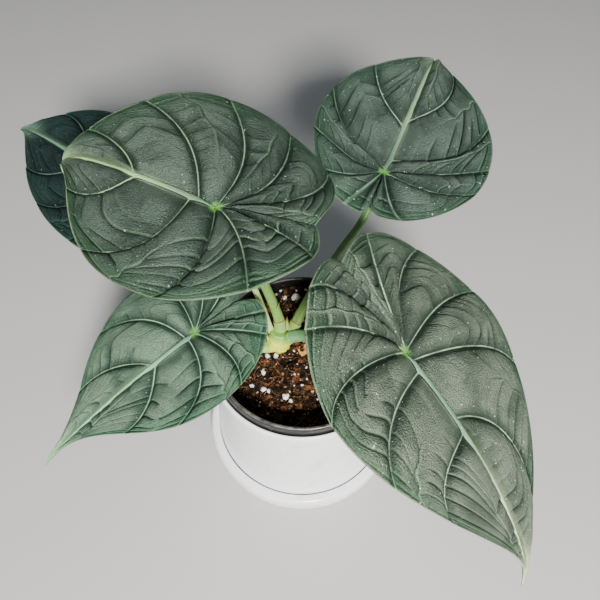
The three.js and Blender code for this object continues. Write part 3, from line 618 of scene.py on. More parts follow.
# The stalk. path: points from inside the crown. r: radius at the crown and at the blade. sheath: extra
# half width at the foot and how far it runs. stub: length that belongs to the crown. skin: its colour at
# the foot and higher up.
# The blade. umbo: where the stalk meets it. tip: how far off its tip is, at the compass angle az. slope:
# fall of the midrib at the umbo. bend, curl: further fall to the tip, curl from curl0 on. back: fall to
# the rear. roll, twist: about the midrib. vee: rise of the halves. arch: droop to the margins. hook: how
# far the tip bends aside. L, R: half width, its station, length of the rear lobe, distance of its end
# from the midrib. sinus: the notch. taper: shape of the tip. veins, left and right: start on the midrib,
# a point that pulls the vein, its end on the outline (0 tip, 3 notch).
LEAVES = [
    dict(path=[[-12.9, 13, 88], [-13, 17.4, 97.5], [-19.6, 24, 121], [-30, 24, 158]], r=[3.1, 2.2],
         sheath=[0.3, 16], stub=9, skin=[(0.24, 0.40, 0.09, 1), (0.13, 0.26, 0.08, 1)],
         umbo=[-39, 11, 202], az=153, slope=-5, roll=0, bend=17, curl=115, curl0=0.6, back=-8, vee=-10,
         arch=[28, 26], twist=26, tip=107, sinus=[-45, -11], hook=0, L=[55, 5, 54, 8], R=[67, 6, 45, 24],
         taper=[0.4, 0.62],
         veins_l=[[44, 52, 24, 0.38], [13, 6, 44, 0.72], [0, -22, 40, 1.08], [0, -16, 2, 1.56],
             [0, -36, -6, 1.98]],
         veins_r=[[46, 56, -13, 0.3], [10, 28, -35, 0.55], [0, -6, -36, 0.86], [0, -27, -21, 1.14],
             [0, -44, -22, 1.56]]),
    dict(path=[[-8, 12.8, 88], [-4, 16.8, 97.5], [6, 28, 114], [21, 37, 140], [32.5, 46, 155]], r=[2.9, 2],
         sheath=[0.6, 22], stub=9.2, skin=[(0.22, 0.36, 0.09, 1), (0.10, 0.21, 0.07, 1)],
         umbo=[42.5, 58, 179], az=68, slope=0, roll=-9, bend=-18, curl=79, curl0=0.55, back=23, vee=-16,
         arch=[23, 23], twist=0, tip=112, sinus=[-24, 0], hook=0, L=[47, 25, 29, 5], R=[52, 23, 28, 8],
         taper=[0.4, 0.57],
         veins_l=[[38, 46, 21, 0.58], [4, 5, 31, 0.88], [0, -10, 13, 1.21], [0, -16, 14, 1.55],
             [0, -14, 5, 1.88]],
         veins_r=[[43, 62, -25, 0.34], [11, 14, -38, 0.75], [0, 2, -24, 0.98], [0, -13, -30, 1.22],
             [0, -23, -9, 1.86]]),
    dict(path=[[-12, 9, 87.5], [-6.5, 9.6, 94.4], [1.7, 7.6, 99.3], [10, 0.5, 106], [30, -27, 132],
             [42, -45, 162]], r=[3.7, 2.3], sheath=[0.1, 12], stub=9.4,
         skin=[(0.20, 0.42, 0.19, 1), (0.12, 0.27, 0.14, 1)], umbo=[43.4, -50.4, 179], az=-45, slope=26,
         roll=24, bend=44, curl=2, curl0=0.7, back=-10, vee=-8, arch=[5, 29], twist=-20, tip=146,
         sinus=[-47, 1], hook=-7, L=[64, 8, 50, 20], R=[57, 0, 53, 14], taper=[0.3, 0.28],
         veins_l=[[37, 56, 32, 0.32], [5, 24, 52, 0.71], [0, -8, 44, 1.03], [0, -30, 22, 1.43],
             [0, -26, 12, 1.86]],
         veins_r=[[44, 41, -37, 0.56], [10, 6, -42, 0.77], [0, -20, -46, 1.03], [0, -22, -10, 1.53],
             [0, -44, -5, 1.78]]),
    dict(path=[[-13.5, 9.5, 86], [-23.5, 5, 91], [-38, 0.5, 100.5], [-49, -1.5, 106]], r=[3.5, 2],
         sheath=[0.6, 12], stub=8.5, skin=[(0.42, 0.58, 0.13, 1), (0.22, 0.36, 0.11, 1)],
         umbo=[-58.4, -2.8, 119], az=215, slope=14, roll=6, bend=17, curl=13, curl0=0.6, back=8, vee=-7,
         arch=[30, 27], twist=1, tip=112, sinus=[-28, -1], hook=0, L=[41, 9, 39, 8], R=[49, 5, 40, 18],
         taper=[0.47, 0.5],
         veins_l=[[28, 42, 23, 0.49], [5, 5, 32, 0.78], [0, -15, 26, 1.18], [0, -12, 5, 1.66],
             [0, -22, 7, 1.9]],
         veins_r=[[30, 48, -20, 0.38], [6, 14, -34, 0.69], [0, -8, -24, 1.05], [0, -22, -14, 1.45],
             [0, -26, -6, 1.85]]),
    dict(path=[[-15, 11.5, 83], [-18.6, 15.2, 94], [-22.6, 20.5, 108], [-27, 26, 120], [-32.5, 31.5, 133],
             [-50, 41, 137], [-75, 56, 137], [-94, 68, 141]], r=[1.9, 1.5], sheath=[0.2, 12], stub=10,
         skin=[(0.46, 0.58, 0.24, 1), (0.28, 0.44, 0.14, 1)], umbo=[-102.3, 72.6, 153.7], az=142, slope=-8,
         roll=15, bend=19, curl=23, curl0=0.6, back=10, vee=-6, arch=[30, 30], twist=4, tip=99,
         sinus=[-28, 0], hook=0, L=[43, 6, 40, 18], R=[44, 7, 40, 18], taper=[0.29, 0.62],
         veins_l=[[28, 44, 25, 0.5], [8, 14, 34, 0.75], [0, -8, 26, 1], [0, -20, 15, 1.4],
             [0, -22, 7, 1.82]],
         veins_r=[[32, 48, -22, 0.45], [8, 14, -32, 0.72], [0, -8, -26, 1], [0, -20, -15, 1.4],
             [0, -22, -7, 1.82]]),
]


def midrib_fall(leaf, p):
    """Angle that the midrib falls at p: it grows evenly to the rear or to the tip, and by the
    square of what is past curl0 near the tip."""
    lobe = (leaf["L"][2] + leaf["R"][2]) / 2
    t = p / leaf["tip"]
    c = np.clip((t - leaf["curl0"]) / (1 - leaf["curl0"]), 0, 1.1)
    rear = leaf["slope"] + leaf["back"] * p / lobe
    front = leaf["slope"] + leaf["bend"] * t + leaf["curl"] * c * c
    return np.radians(np.where(p < 0, rear, front))


def midrib_line(leaf, p):
    """Run and height of the midrib at p: the fall's cosine and sine added up in small steps."""
    found = []
    for end in (-max(leaf["L"][2], leaf["R"][2], -leaf["sinus"][0]) - 4, leaf["tip"] + 2):
        step = end / FALL_STEPS
        fall = midrib_fall(leaf, (np.arange(FALL_STEPS) + 0.5) * step)
        rows = np.stack([np.cos(fall), -np.sin(fall)]) * step
        rows = np.hstack([np.zeros((2, 1)), np.cumsum(rows, 1)])
        place = np.clip(p / end, 0, 1) * FALL_STEPS
        found.append([np.interp(place, np.arange(FALL_STEPS + 1), row) for row in rows])
    return [np.where(p < 0, rear, front) for rear, front in zip(*found)]


def blade_surface(leaf, p, q):
    """Flat point (p, q) in space: along the bent midrib, then out along a circular arc to the side."""
    p, q = np.broadcast_arrays(np.asarray(p, float), np.asarray(q, float))
    h, z = midrib_line(leaf, p)
    b = midrib_fall(leaf, p)[..., None]
    az = math.radians(leaf["az"])
    ahead = np.array([math.cos(az), math.sin(az), 0])
    left = np.array([-math.sin(az), math.cos(az), 0])
    q = q + leaf["hook"] * np.clip((p / leaf["tip"] - 0.9) / 0.1, 0, 1.1) ** 2
    up = np.sin(b) * ahead + np.cos(b) * [0, 0, 1]
    g = np.radians(leaf["roll"] + leaf["twist"] * p / leaf["tip"])[..., None]
    side, top = left * np.cos(g) - up * np.sin(g), up * np.cos(g) + left * np.sin(g)
    v = math.radians(leaf["vee"])
    width = (leaf["L"][0] + leaf["R"][0]) / 2
    k = np.radians(np.where(q >= 0, leaf["arch"][0], leaf["arch"][1])) / width
    u = v + k * np.abs(q)
    x = ((np.sin(u) - math.sin(v)) / k * np.sign(q))[..., None]
    y = ((np.cos(u) - math.cos(v)) / k)[..., None]
    rib = np.array(leaf["umbo"]) + h[..., None] * ahead + z[..., None] * np.array([0, 0, 1])
    return rib + x * side + y * top


def blade_up(leaf, p, q):
    """The blade's upward direction at (p, q), from four points close by."""
    e = 0.4
    a = blade_surface(leaf, p + e, q) - blade_surface(leaf, p - e, q)
    b = blade_surface(leaf, p, q + e) - blade_surface(leaf, p, q - e)
    return unit(np.cross(a, b))


def smooth_line(knots):
    """A centripetal Catmull-Rom line through the knots. Returns its length and a function that
    gives the point at any distance along it."""
    p = np.array(knots, float)
    p = np.vstack([2 * p[0] - p[1], p, 2 * p[-1] - p[-2]])
    gap = np.sqrt(np.linalg.norm(np.diff(p, axis=0), axis=1))[:, None]
    x0, x1, x2, x3 = p[:-3], p[1:-2], p[2:-1], p[3:]
    d0, d1, d2 = gap[:-2], gap[1:-1], gap[2:]
    m1 = ((x1 - x0) / d0 - (x2 - x0) / (d0 + d1) + (x2 - x1) / d1) * d1
    m2 = ((x2 - x1) / d1 - (x3 - x1) / (d1 + d2) + (x3 - x2) / d2) * d1
    u = np.linspace(0, 1, 60, endpoint=False)[None, :, None]
    x1, x2, m1, m2 = (v[:, None] for v in (x1, x2, m1, m2))
    line = (x1 + m1 * u + (3 * x2 - 3 * x1 - 2 * m1 - m2) * u ** 2
            + (2 * x1 - 2 * x2 + m1 + m2) * u ** 3)
    line = np.vstack([line.reshape(-1, 3), p[-2]])
    run = np.concatenate([[0], np.cumsum(np.linalg.norm(np.diff(line, axis=0), axis=1))])
    return run[-1], lambda s: np.stack([np.interp(s, run, line[:, k]) for k in range(3)], -1)


def stalk(leaf):
    """A stalk's length, its line, and its half widths. The line ends square to the blade's underside. The
    radius falls off by a power, the sheath widens one axis at the foot, and the last few millimetres
    swell into the blade."""
    up = blade_up(leaf, np.array(0.0), np.array(0.0))
    end = np.array(leaf["umbo"]) - up * (RELIEF + BLADE_T + GAP)
    length, at = smooth_line(leaf["path"] + [end - 9 * up, end - 3 * up, end])
    (foot, top), (extra, run) = leaf["r"], leaf["sheath"]

    def widths(s):
        r = foot + (top - foot) * np.clip(s / length, 0, 1) ** 0.8
        r = r * (1 + 0.35 * np.exp(-((length - s) / 2.2)))
        return np.array([r + extra * np.clip(1 - np.clip(s - leaf["stub"], 0, None) / run, 0, 1), r])

    return length, at, widths


def bell(d, width):
    """One at zero, falling off within the width."""
    return np.exp(-(d / width) ** 2)


def limb(at, s, wide, deep, sides=36, groove=0.0):
    """A closed tube with oval rings along a line: wide and deep are its half widths at each s. A groove
    runs along the side that faces up."""
    middle = at(s)
    ahead = unit(np.gradient(middle, axis=0))
    side = np.array([ahead[0, 1], -ahead[0, 0], 0.001]) * np.ones((len(s), 1))
    side = unit(side - (side * ahead).sum(1)[:, None] * ahead)
    other = np.cross(ahead, side)
    angle, cos, sin = circle(sides)
    dent = 1 - groove * bell(angle - math.pi * 1.5, 0.45)
    ring = (wide[:, None, None] * cos[:, None] * side[:, None]
            + deep[:, None, None] * (sin * dent)[:, None] * other[:, None])
    ends = ((1, 1), (0, 0))
    return ringed(np.pad(middle, ends, "edge")[:, None] + np.pad(ring, ends + ((0, 0),)))


@node_group("streaks", ["Streaks"], Stretch=(1, 1, 0.12), Scale=1500.0)
def STREAKS(group, stretch, scale):
    """Noise that is drawn out along the axes that Stretch shrinks."""
    where = object_place(group)
    return [where.node("ShaderNodeMapping", {"Vector": where, "Scale": stretch}).noise(scale, 3, 0.6)]


@node_group("fleshy skin", Foot=(0.3, 0.4, 0.1, 1), Top=(0.2, 0.3, 0.1, 1), Low=0.09, High=0.1)
def FLESHY(group, foot, top, low, high):
    """The green Foot up to the height Low and the green Top from High on, streaks and pale flecks."""
    where = object_place(group)
    streaks = where.node("ShaderNodeGroup", {"Stretch": (1, 1, 0.12), "Scale": 1500}, node_tree=STREAKS)
    colour = where.split()[2].fade(low, high).blend(foot, top)
    colour = colour.tinted(streaks.fade(0.42, 0.72), (0.62, 0.68, 0.55, 1))
    colour = colour.tinted(where.noise(240, 4).fade(0.52, 0.7) * 0.5, (1.25, 1.15, 1.1, 1))
    return colour, where.noise(600, 3).fade(0.3, 0.7, 0.34, 0.5), streaks


def tissue_material(name, foot, top, low, high):
    """Fleshy stalk skin with a waxy gloss, and a little light let through."""
    return from_group(name, FLESHY, {"Foot": foot, "Top": top, "Low": low * MM, "High": high * MM}, 0.25,
                      0.0004, Subsurface_Weight=0.12, Subsurface_Scale=0.003, IOR=1.4, Coat_Weight=0.12,
                      Coat_Roughness=0.3, Subsurface_Radius=(0.6, 1.0, 0.3))


for k, leaf in enumerate(LEAVES, 1):
    length, at, widths = stalk(leaf)
    s = np.concatenate([np.arange(leaf["stub"] - 1.5, length - SWELL, RING_STEP),
                        length - SWELL + np.linspace(0, SWELL, 8)])
    skin = tissue_material(f"petiole_{k} skin", *leaf["skin"], at(leaf["stub"])[2], at(length * 0.6)[2])
    new_piece(f"petiole_{k}_fine", *limb(at, s, *widths(s), groove=0.12), [skin], "stalk_green",
              [f"petiole_{k}"])


# Crown
# The short fleshy stem that the stalks grow from, ringed by the scars of older leaves.
# Living tissue in one piece with the stubs of the stalks; it stands in the soil.

CROWN_AT = (-13, 11.5)
CROWN_AXES = (8.6, 7.2)
SCAR_STEP = 5.2


def trunk():
    """An upright oval tube that swells and then closes in a dome, ringed by narrow scars."""
    x, y = CROWN_AT
    length, at = smooth_line([[x, y - 0.5, 64], [x, y, 80], [x + 0.4, y + 0.8, 88], [x + 1.2, y + 2.4, 94.5]])
    s = np.linspace(0, length, 90)
    t = s / length
    k = np.where(t < 0.6, 0.8 + 0.25 * np.sin(math.pi * t / 1.2), 1.05 - 0.95 * np.clip(t - 0.6, 0, 1) ** 1.3)
    k = k * (1 - 0.045 * bell(s % SCAR_STEP - SCAR_STEP / 2, 0.35))
    return limb(lambda s: at(s) - [1.2, 0, 0], s, 0.86 * CROWN_AXES[0] * k, CROWN_AXES[1] * k, 60)


def joined(parts):
    """Several meshes as one."""
    starts = np.cumsum([0] + [len(points) for points, _ in parts[:-1]])
    return (np.vstack([points for points, _ in parts]),
            np.vstack([faces + start for (_, faces), start in zip(parts, starts)]))


stubs = []
for leaf in LEAVES:
    _, at, widths = stalk(leaf)
    s = np.linspace(0, leaf["stub"], 16)
    stubs.append(limb(at, s, *(widths(s) * (1 + 0.06 * bell(leaf["stub"] - s, 1))), 40))
crown_skin = tissue_material("crown skin", (0.72, 0.76, 0.06, 1), (0.25, 0.46, 0.10, 1), 90, 95)
crown = new_piece("crown_fine", *joined([trunk()] + stubs), [crown_skin], "crown_green", ["crown"])
knit = crown.modifiers.new("knit", "REMESH")
knit.mode = "VOXEL"
knit.voxel_size = 0.45 * MM
knit.use_smooth_shade = True
soften = crown.modifiers.new("soften", "SMOOTH")
soften.factor = 0.5
soften.iterations = 4
apply_modifiers(crown)


# Sheath remains
# Short sheaths that clasp the feet of the two tall stalks, each with a dry brown rim, and the papery
# tips of older ones. They grew with the crown, and stay fixed to it.

COLLAR_ENDS = (13.2, 12.8)     # how far up the first two stalks their sheaths reach
COLLAR_FOOT = 6
COLLAR_T = 0.5
# Foot, tip and half width of each papery tip
TIPS = [([-6.8, 16.4, 95.5], [-1.8, 22.5, 106.5], 1.5), ([-8.6, 13.6, 96.0], [-8.7, 16, 106.4], 0.9),
        ([-19.5, 9, 89.5], [-20.6, 11.5, 95.5], 0.8), ([-14.5, 19, 111.5], [-12.6, 18.5, 117], 0.6)]


def dryness(points, line, s, start):
    """0 up to start, and rising evenly to 1 at the end of the line that a sheath follows."""
    nearest = ((points[:, None] - line) ** 2).sum(-1).argmin(1)
    return np.clip((s[nearest] - start) / (s[-1] - start), 0, 1)


def mark(tree, name, output="Vector"):
    """A mark that was kept on the points of the piece."""
    return Wire(put(tree, "ShaderNodeAttribute", attribute_name=name).outputs[output])


def sheath_material():
    """Thin clasping skin: green where it lives, tan where it withers and brown at its dry rim."""
    material = new_material("sheath skin", Subsurface_Weight=0.1, Subsurface_Scale=0.002, IOR=1.4)
    dry = mark(material.node_tree, "dry", "Fac")
    streaks = dry.node("ShaderNodeGroup", {"Stretch": (1, 1, 0.15), "Scale": 1300}, node_tree=STREAKS)
    dry = dry + (streaks - 0.5) * 0.5
    colour = dry.fade(0.15, 0.6).blend((0.26, 0.42, 0.11, 1), (0.40, 0.43, 0.13, 1))
    colour = dry.fade(0.65, 0.95).blend(colour, (0.15, 0.075, 0.03, 1))
    return dress(material, colour, dry.fade(0, 1, 0.4, 0.75), streaks, 0.4, 0.0004)


sheaths, drynesses = [], []
for leaf, end in zip(LEAVES, COLLAR_ENDS):
    _, at, widths = stalk(leaf)
    s = np.linspace(COLLAR_FOOT, end, 40)
    sheaths.append(limb(at, s, *(widths(s) + COLLAR_T), 40))
    drynesses.append(dryness(sheaths[-1][0], at(s), s, end - 1.1))
for foot, tip, width in TIPS:
    between = np.array(foot) * 0.45 + np.array(tip) * 0.55 + [0, -0.5, 0]
    length, at = smooth_line([foot, between, tip])
    s = np.linspace(0, length, 24)
    wide = width * np.sqrt(1 - (s / length) ** 2 * 0.99)
    sheaths.append(limb(at, s, wide, 0.25 + 0 * s, 16))
    drynesses.append(dryness(sheaths[-1][0], at(s), s, -0.35 * length))
new_piece("sheath_remains", *joined(sheaths), [sheath_material()], "crown_green",
          marks={"dry": np.concatenate(drynesses)})


# Blades
# Five thick, leathery blades, each held near its middle by the stalk. The veins lie in furrows and
# the fields between them swell up like quilting; each blade grew in one piece.

BLADE_SEED = 19
EDGE_T = 0.5                   # thickness at the margin
WAVE = 0.25                    # height of the small waves along the margin
KEEL = 0.8                     # height of the ribs on the underside
RIB_HALF = 1.7                 # half width of the midrib, and its height over its furrow
RIB_RISE = 1.5
BULGE = 1.8                    # height of the cushions
ROWS = 112                     # steps along a vein, an even number
HALF = 18                      # steps from a vein to the middle of a field, an even number
ARC_STEP = 7.8                 # mean distance between the side veins of a field
ARC_PLACES = 22                # places along a vein where a side vein may start
NOTCH = 3                      # where the outline of a half ends
TAIL = 1.5                     # how much wider the drawn-out tip is than its arc
FIT = 0.986                    # the fine blade stays a hair inside the solid's outline
# What the material reads at a point: distance to the primary vein and to the margin, and how far it is in a
# side vein, on the slope before it and on a cushion. From the last three the material paints shade in the
# side vein, a highlight on the slope and shade across the cushion
MARKS = ["rib", "edge", "crease", "lit", "swell"]


def curve3(c, t):
    """A cubic curve through four control points, for an array of t from 0 to 1."""
    c, t = np.asarray(c, float), np.asarray(t)[..., None]
    return ((1 - t) ** 3 * c[0] + 3 * t * (1 - t) ** 2 * c[1] + 3 * t * t * (1 - t) * c[2] + t ** 3 * c[3])


def outline(leaf, side, s):
    """Outline of one half: three arcs, from the tip over the widest place and the lobe to the notch.
    The drawn-out tip is TAIL wider than its arc, and more so on the side that it hooks to."""
    w, pw, lobe, end = leaf["L"] if side > 0 else leaf["R"]
    a, b = leaf["taper"]
    n, qn, tip = -leaf["sinus"][0], leaf["sinus"][1] * side, leaf["tip"]
    arcs = [
        [[tip, 0], [tip - a * (tip - pw), 0.02 * w], [pw + b * (tip - pw), w], [pw, w]],
        [[pw, w], [pw - 0.5 * (pw + lobe), w], [-lobe, end + 0.6 * (w - end)], [-lobe, end]],
        [[-lobe, end], [-lobe, end + 0.55 * (qn - end)], [-n - 0.1 * (lobe - n), qn], [-n, qn]],
    ]
    s = np.asarray(s, float)
    part = np.clip(np.floor(s), 0, 2)[..., None]
    found = [curve3(arc, s - i) for i, arc in enumerate(arcs)]
    tail = TAIL * (1 + 0.05 * leaf["hook"] * side) * (1 - np.exp(-s / 0.03)) * bell(s, 0.12)
    flat = np.select([part == 0, part == 1], found[:2], found[2])
    return (flat + tail[..., None] * [0, 1]) * [1, side]


def rib_half(leaf, p):
    """Half width of the midrib at p: nothing at the joint and at the tip."""
    t = np.clip(p / leaf["tip"], 0, 1)
    return RIB_HALF * np.minimum(1, p / 6) * (1 - 0.85 * t) * np.minimum(1, 4 * (1 - t))


def curves_of(leaf, side):
    """The lines that bound the fields of one half, each with its end on the outline and a function
    of a from 0 to 1: the midrib's edge, the veins, and the line to the notch."""
    rows = leaf["veins_l"] if side > 0 else leaf["veins_r"]
    first = rows[0][0]

    def edge(a):
        p = first + a * (leaf["tip"] - first)
        return np.stack([p, side * rib_half(leaf, p)], -1)

    def vein(start, vp, vq, end):
        p0 = np.array([start, side * rib_half(leaf, np.array(float(start)))])
        p2 = outline(leaf, side, end)
        return lambda a: (((1 - a) ** 2)[..., None] * p0 + (2 * (1 - a) * a)[..., None] * [vp, vq]
                          + (a * a)[..., None] * p2)

    lines = [(0, edge)] + [(row[3], vein(*row)) for row in rows]
    return lines + [(NOTCH, lambda a: a[..., None] * np.array(leaf["sinus"], float))]


def field_place(leaf, side, low, high, a, b):
    """A point of the field between two lines: the straight blend of both at a, shifted so that the
    far end lies on the outline."""
    (s0, c0), (s1, c1) = low, high
    one = np.ones_like(a)
    ends = (1 - b)[..., None] * c0(one) + b[..., None] * c1(one)
    shift = outline(leaf, side, s0 + (s1 - s0) * b) - ends
    return (1 - b)[..., None] * c0(a) + b[..., None] * c1(a) + (a * a)[..., None] * shift


def quilt(a, b):
    """Height of the blade: furrows at the veins, where b is 0 or 1, and cushions between them."""
    s = (4 * b * (1 - b)) ** 0.72
    e = (2 * a - 1) ** 4 * np.where(a > 0.5, 0.6, 1)
    return -RELIEF * (1 - a ** 3) * (1 - s * (1 - e)) + BULGE * s * (1 - e)


def stations(arcs, length):
    """Places of the rows along a vein, closer together at the side veins, which rows meet exactly."""
    fine = np.linspace(0, 1, 4001)
    weight = 1 + 2.2 * bell((fine[:, None] - arcs) * length, 0.9).sum(1)
    total = np.concatenate([[0], np.cumsum((weight[1:] + weight[:-1]) / 2)])
    rows = np.interp(np.linspace(0, total[-1], ROWS + 1), total, fine)
    nearest = np.abs(rows[:, None] - arcs).argmin(0)
    rows[nearest] = arcs
    rows[0], rows[-1] = 0, 1
    return rows


def chosen(arcs, length, rng):
    """Strength of the side vein at each place: about one every ARC_STEP is drawn, the rest hardly
    show."""
    step = ARC_STEP / (length * (arcs[1] - arcs[0]))
    picks = np.cumsum(step * (0.7 + 0.6 * rng.random(len(arcs)))) - step * rng.random()
    picks = np.unique(np.clip(np.round(picks), 0, len(arcs) - 1).astype(int))
    found = np.full(len(arcs), 0.08)
    found[picks] = 0.3 + 0.85 * rng.random(len(picks))
    return found


def side_veins(t, m, is_first, is_open, arcs, length, rng):
    """The side veins of a field: each half draws its own, some weaker, some cut short. Returns the thin line,
    which the material paints dark as shade, the groove round it, the slope before it, which the material
    paints as a highlight, and the cushion between two of them, which shapes the blade and is painted darker
    near the veins as shade."""
    draw = np.stack([chosen(arcs, length, rng), chosen(arcs, length, rng)])
    draw[1] = is_open * draw[1] + (1 - is_open) * draw[0]
    stop = 0.8 + 0.9 * rng.random((2, len(arcs)))
    strength = np.where(is_first, draw[0], draw[1])
    strength = strength * (1 - 0.25 * m) * ease(np.where(is_first, stop[0], stop[1]) - m, 0, 0.4)
    strength = strength * (0.3 + 0.7 * ease(t, 0.1, 0.45))
    past = (t - arcs) * length
    slope = np.exp(-np.abs(past) / np.where(past > 0, 3.6, 1.4))
    line, groove, lit, dip = ((strength * shape).max(-1) for shape in (
        bell(past, 0.3), bell(past, 0.5), bell(past + 0.75, 0.32), slope))
    return line, groove, lit, 1 - dip


def field(leaf, side, n, low, high, rows, arcs, rng):
    """One field as a grid. The rows bow towards the margin between a vein and the field's middle line,
    so each side vein is one row. Returns flat places, heights, what the material reads and the distance
    along the vein."""
    x = np.linspace(0, 1, HALF + 1)
    x = 0.5 * x + 0.5 * (1 - np.cos(math.pi * x)) / 2
    x = np.concatenate([x, 2 - x[-2::-1]])[None, :]
    is_open = ease(rng.random(), 0.35, 0.6)
    middle = 0.5 + 0.13 * np.sin(2.2 * rows + 6 * rng.random()) * ease(rows, 0, 0.4)
    middle = middle + 0.025 * is_open * np.sin(24 * rows + 6 * rng.random()) * ease(rows, 0.2, 0.5)
    t, middle = rows[:, None], middle[:, None]
    m = np.minimum(x, 2 - x)
    b = np.where(x <= 1, x * middle, 1 - (2 - x) * (1 - middle))
    ends = [np.diff(curve(np.array([0.0, 1.0])), axis=0) for _, curve in (low, high)]
    length = sum(np.linalg.norm(end, axis=-1)[0] * 0.5 for end in ends)
    span = np.linalg.norm(low[1](rows) - high[1](rows), axis=-1)[:, None]
    reach = 0.42 * span[-1, 0] / length
    power = 1.3 + 1.2 * rng.random()
    bow = is_open * m ** power + (1 - is_open) * np.sin(math.pi / 2 * m) ** power
    a = t + np.minimum(2.1 * reach, 0.8) * t * (1 - t) * bow
    sway = 0.016 * np.sin(9 * t + 7 * rng.random()) * np.sin(math.pi * m)
    sway = sway + 0.01 * m * np.sin(23 * t + 7 * rng.random())
    a = a + 4 * t * (1 - t) * sway
    a = np.where(t >= 1, 1, np.minimum(a, 1))
    to_low, to_high = b * span, (1 - b) * span
    crease = np.minimum(to_low, to_high)
    rib = np.minimum(to_low + 0.5 if n == 0 else to_low, to_high)
    if high[0] == NOTCH:
        rib = to_low
    line, groove, lit, cell = side_veins(t[..., None], m[..., None], (x <= 1)[..., None], is_open, arcs,
                                         length, rng)
    # a last vein runs down the field's middle
    to_middle = (b - middle) * span
    spine = ease(t, 0.15, 0.45) * is_open * 0.9
    line = np.maximum(line, spine * bell(to_middle, 0.35))
    groove = np.maximum(groove, spine * bell(to_middle, 0.6))
    lit = np.maximum(lit, spine * bell(to_middle + 0.8, 0.35))
    calm = ease(t, 0.02, 0.12) * ease(crease, 0.0, 1.4) * (1 - 0.8 * ease(t, 0.84, 0.98))
    ditch = bell(crease - 1.2, 0.6) * ease(t, 0.06, 0.2) * (1 - ease(t, 0.85, 1))
    height = (quilt(a, b) + calm * (1.1 * cell - 0.5 * groove) + 0.4 * bell(rib, 0.36) * (1 - t ** 3)
              - 0.35 * ditch)
    seen = ease(crease, 0.2, 1.2) * ease(t, 0.02, 0.1)
    marks = np.stack([rib, (1 - a) * length, line * seen, lit * seen, 1 - (1 - cell) * seen], -1)
    return [field_place(leaf, side, low, high, a, b).reshape(-1, 2), height.ravel(),
            marks.reshape(-1, len(MARKS)), (t * length + 40 * n + 0 * b).ravel()]


def sheet(ids, flip):
    """The triangles over a grid of point numbers, and those over every second point, facing the other
    way."""
    coarse = ids[::2, ::2]
    return (ids.ravel()[grid_triangles(*ids.shape, flip=flip)],
            coarse.ravel()[grid_triangles(*coarse.shape, flip=not flip)])


def blade(leaf, seed):
    """The whole blade, flat: the fields of both halves as patches, their triangles for both sides of the
    blade, the rows at the margin and the two edges of the midrib."""
    rng = np.random.default_rng(seed)
    width = 2 * HALF + 1
    patches, sheets, rims, ribs = [], [], [], []
    arcs = np.linspace(0.07, 0.95, ARC_PLACES)
    rows = stations(arcs, leaf["tip"] * 0.75)
    for side in (1, -1):
        lines = curves_of(leaf, side)
        flip = side > 0
        edge = []
        for n, (low, high) in enumerate(zip(lines[:-1], lines[1:])):
            patches.append(field(leaf, side, n, low, high, rows, arcs, rng))
            ids = np.arange(len(rows) * width).reshape(-1, width) + len(rows) * width * (len(patches) - 1)
            sheets.append(sheet(ids, flip))
            rims.append(ids[-1] if flip else ids[-1, ::-1])
            if n == 0:
                edge.append(ids[::-1, 0])
            if n in (1, 2):
                edge.append(ids[0, 1:])
        ribs.append(np.concatenate(edge))
    return patches, sheets, rims, ribs


def midrib_strip(leaf, flat, ribs):
    """The midrib: a raised strip between the two halves. Across it the height rises as a half round
    from the furrow's edge. Its columns start and end on the halves' own points."""
    y = np.linspace(0, 1, 9)[None, :, None]
    place = flat[ribs[0]][:, None] * (1 - y) + flat[ribs[1]][:, None] * y
    p = place[..., 0]
    t = np.clip(p / leaf["tip"], 0, 1)
    first = leaf["veins_l"][0][0]
    crest = RIB_RISE * (1 - 0.7 * t) * np.clip(p / 6, 0, 1) - RELIEF * (1 - t ** 3)
    low = -RELIEF * (1 - np.clip((p - first) / (leaf["tip"] - first), 0, 1) ** 3)
    half_round = (1 - (2 * y[..., 0] - 1) ** 2) ** 0.6
    height = low + (crest - low) * half_round
    ids = len(flat) + np.arange(p.size).reshape(p.shape)
    ids[:, 0], ids[:, -1] = ribs
    marks = np.stack([-half_round * rib_half(leaf, p), leaf["tip"] - p, 0 * p, 0 * p, 1 + 0 * p], -1)
    return [place.reshape(-1, 2), height.ravel(), marks.reshape(-1, len(MARKS)), p.ravel()], ids


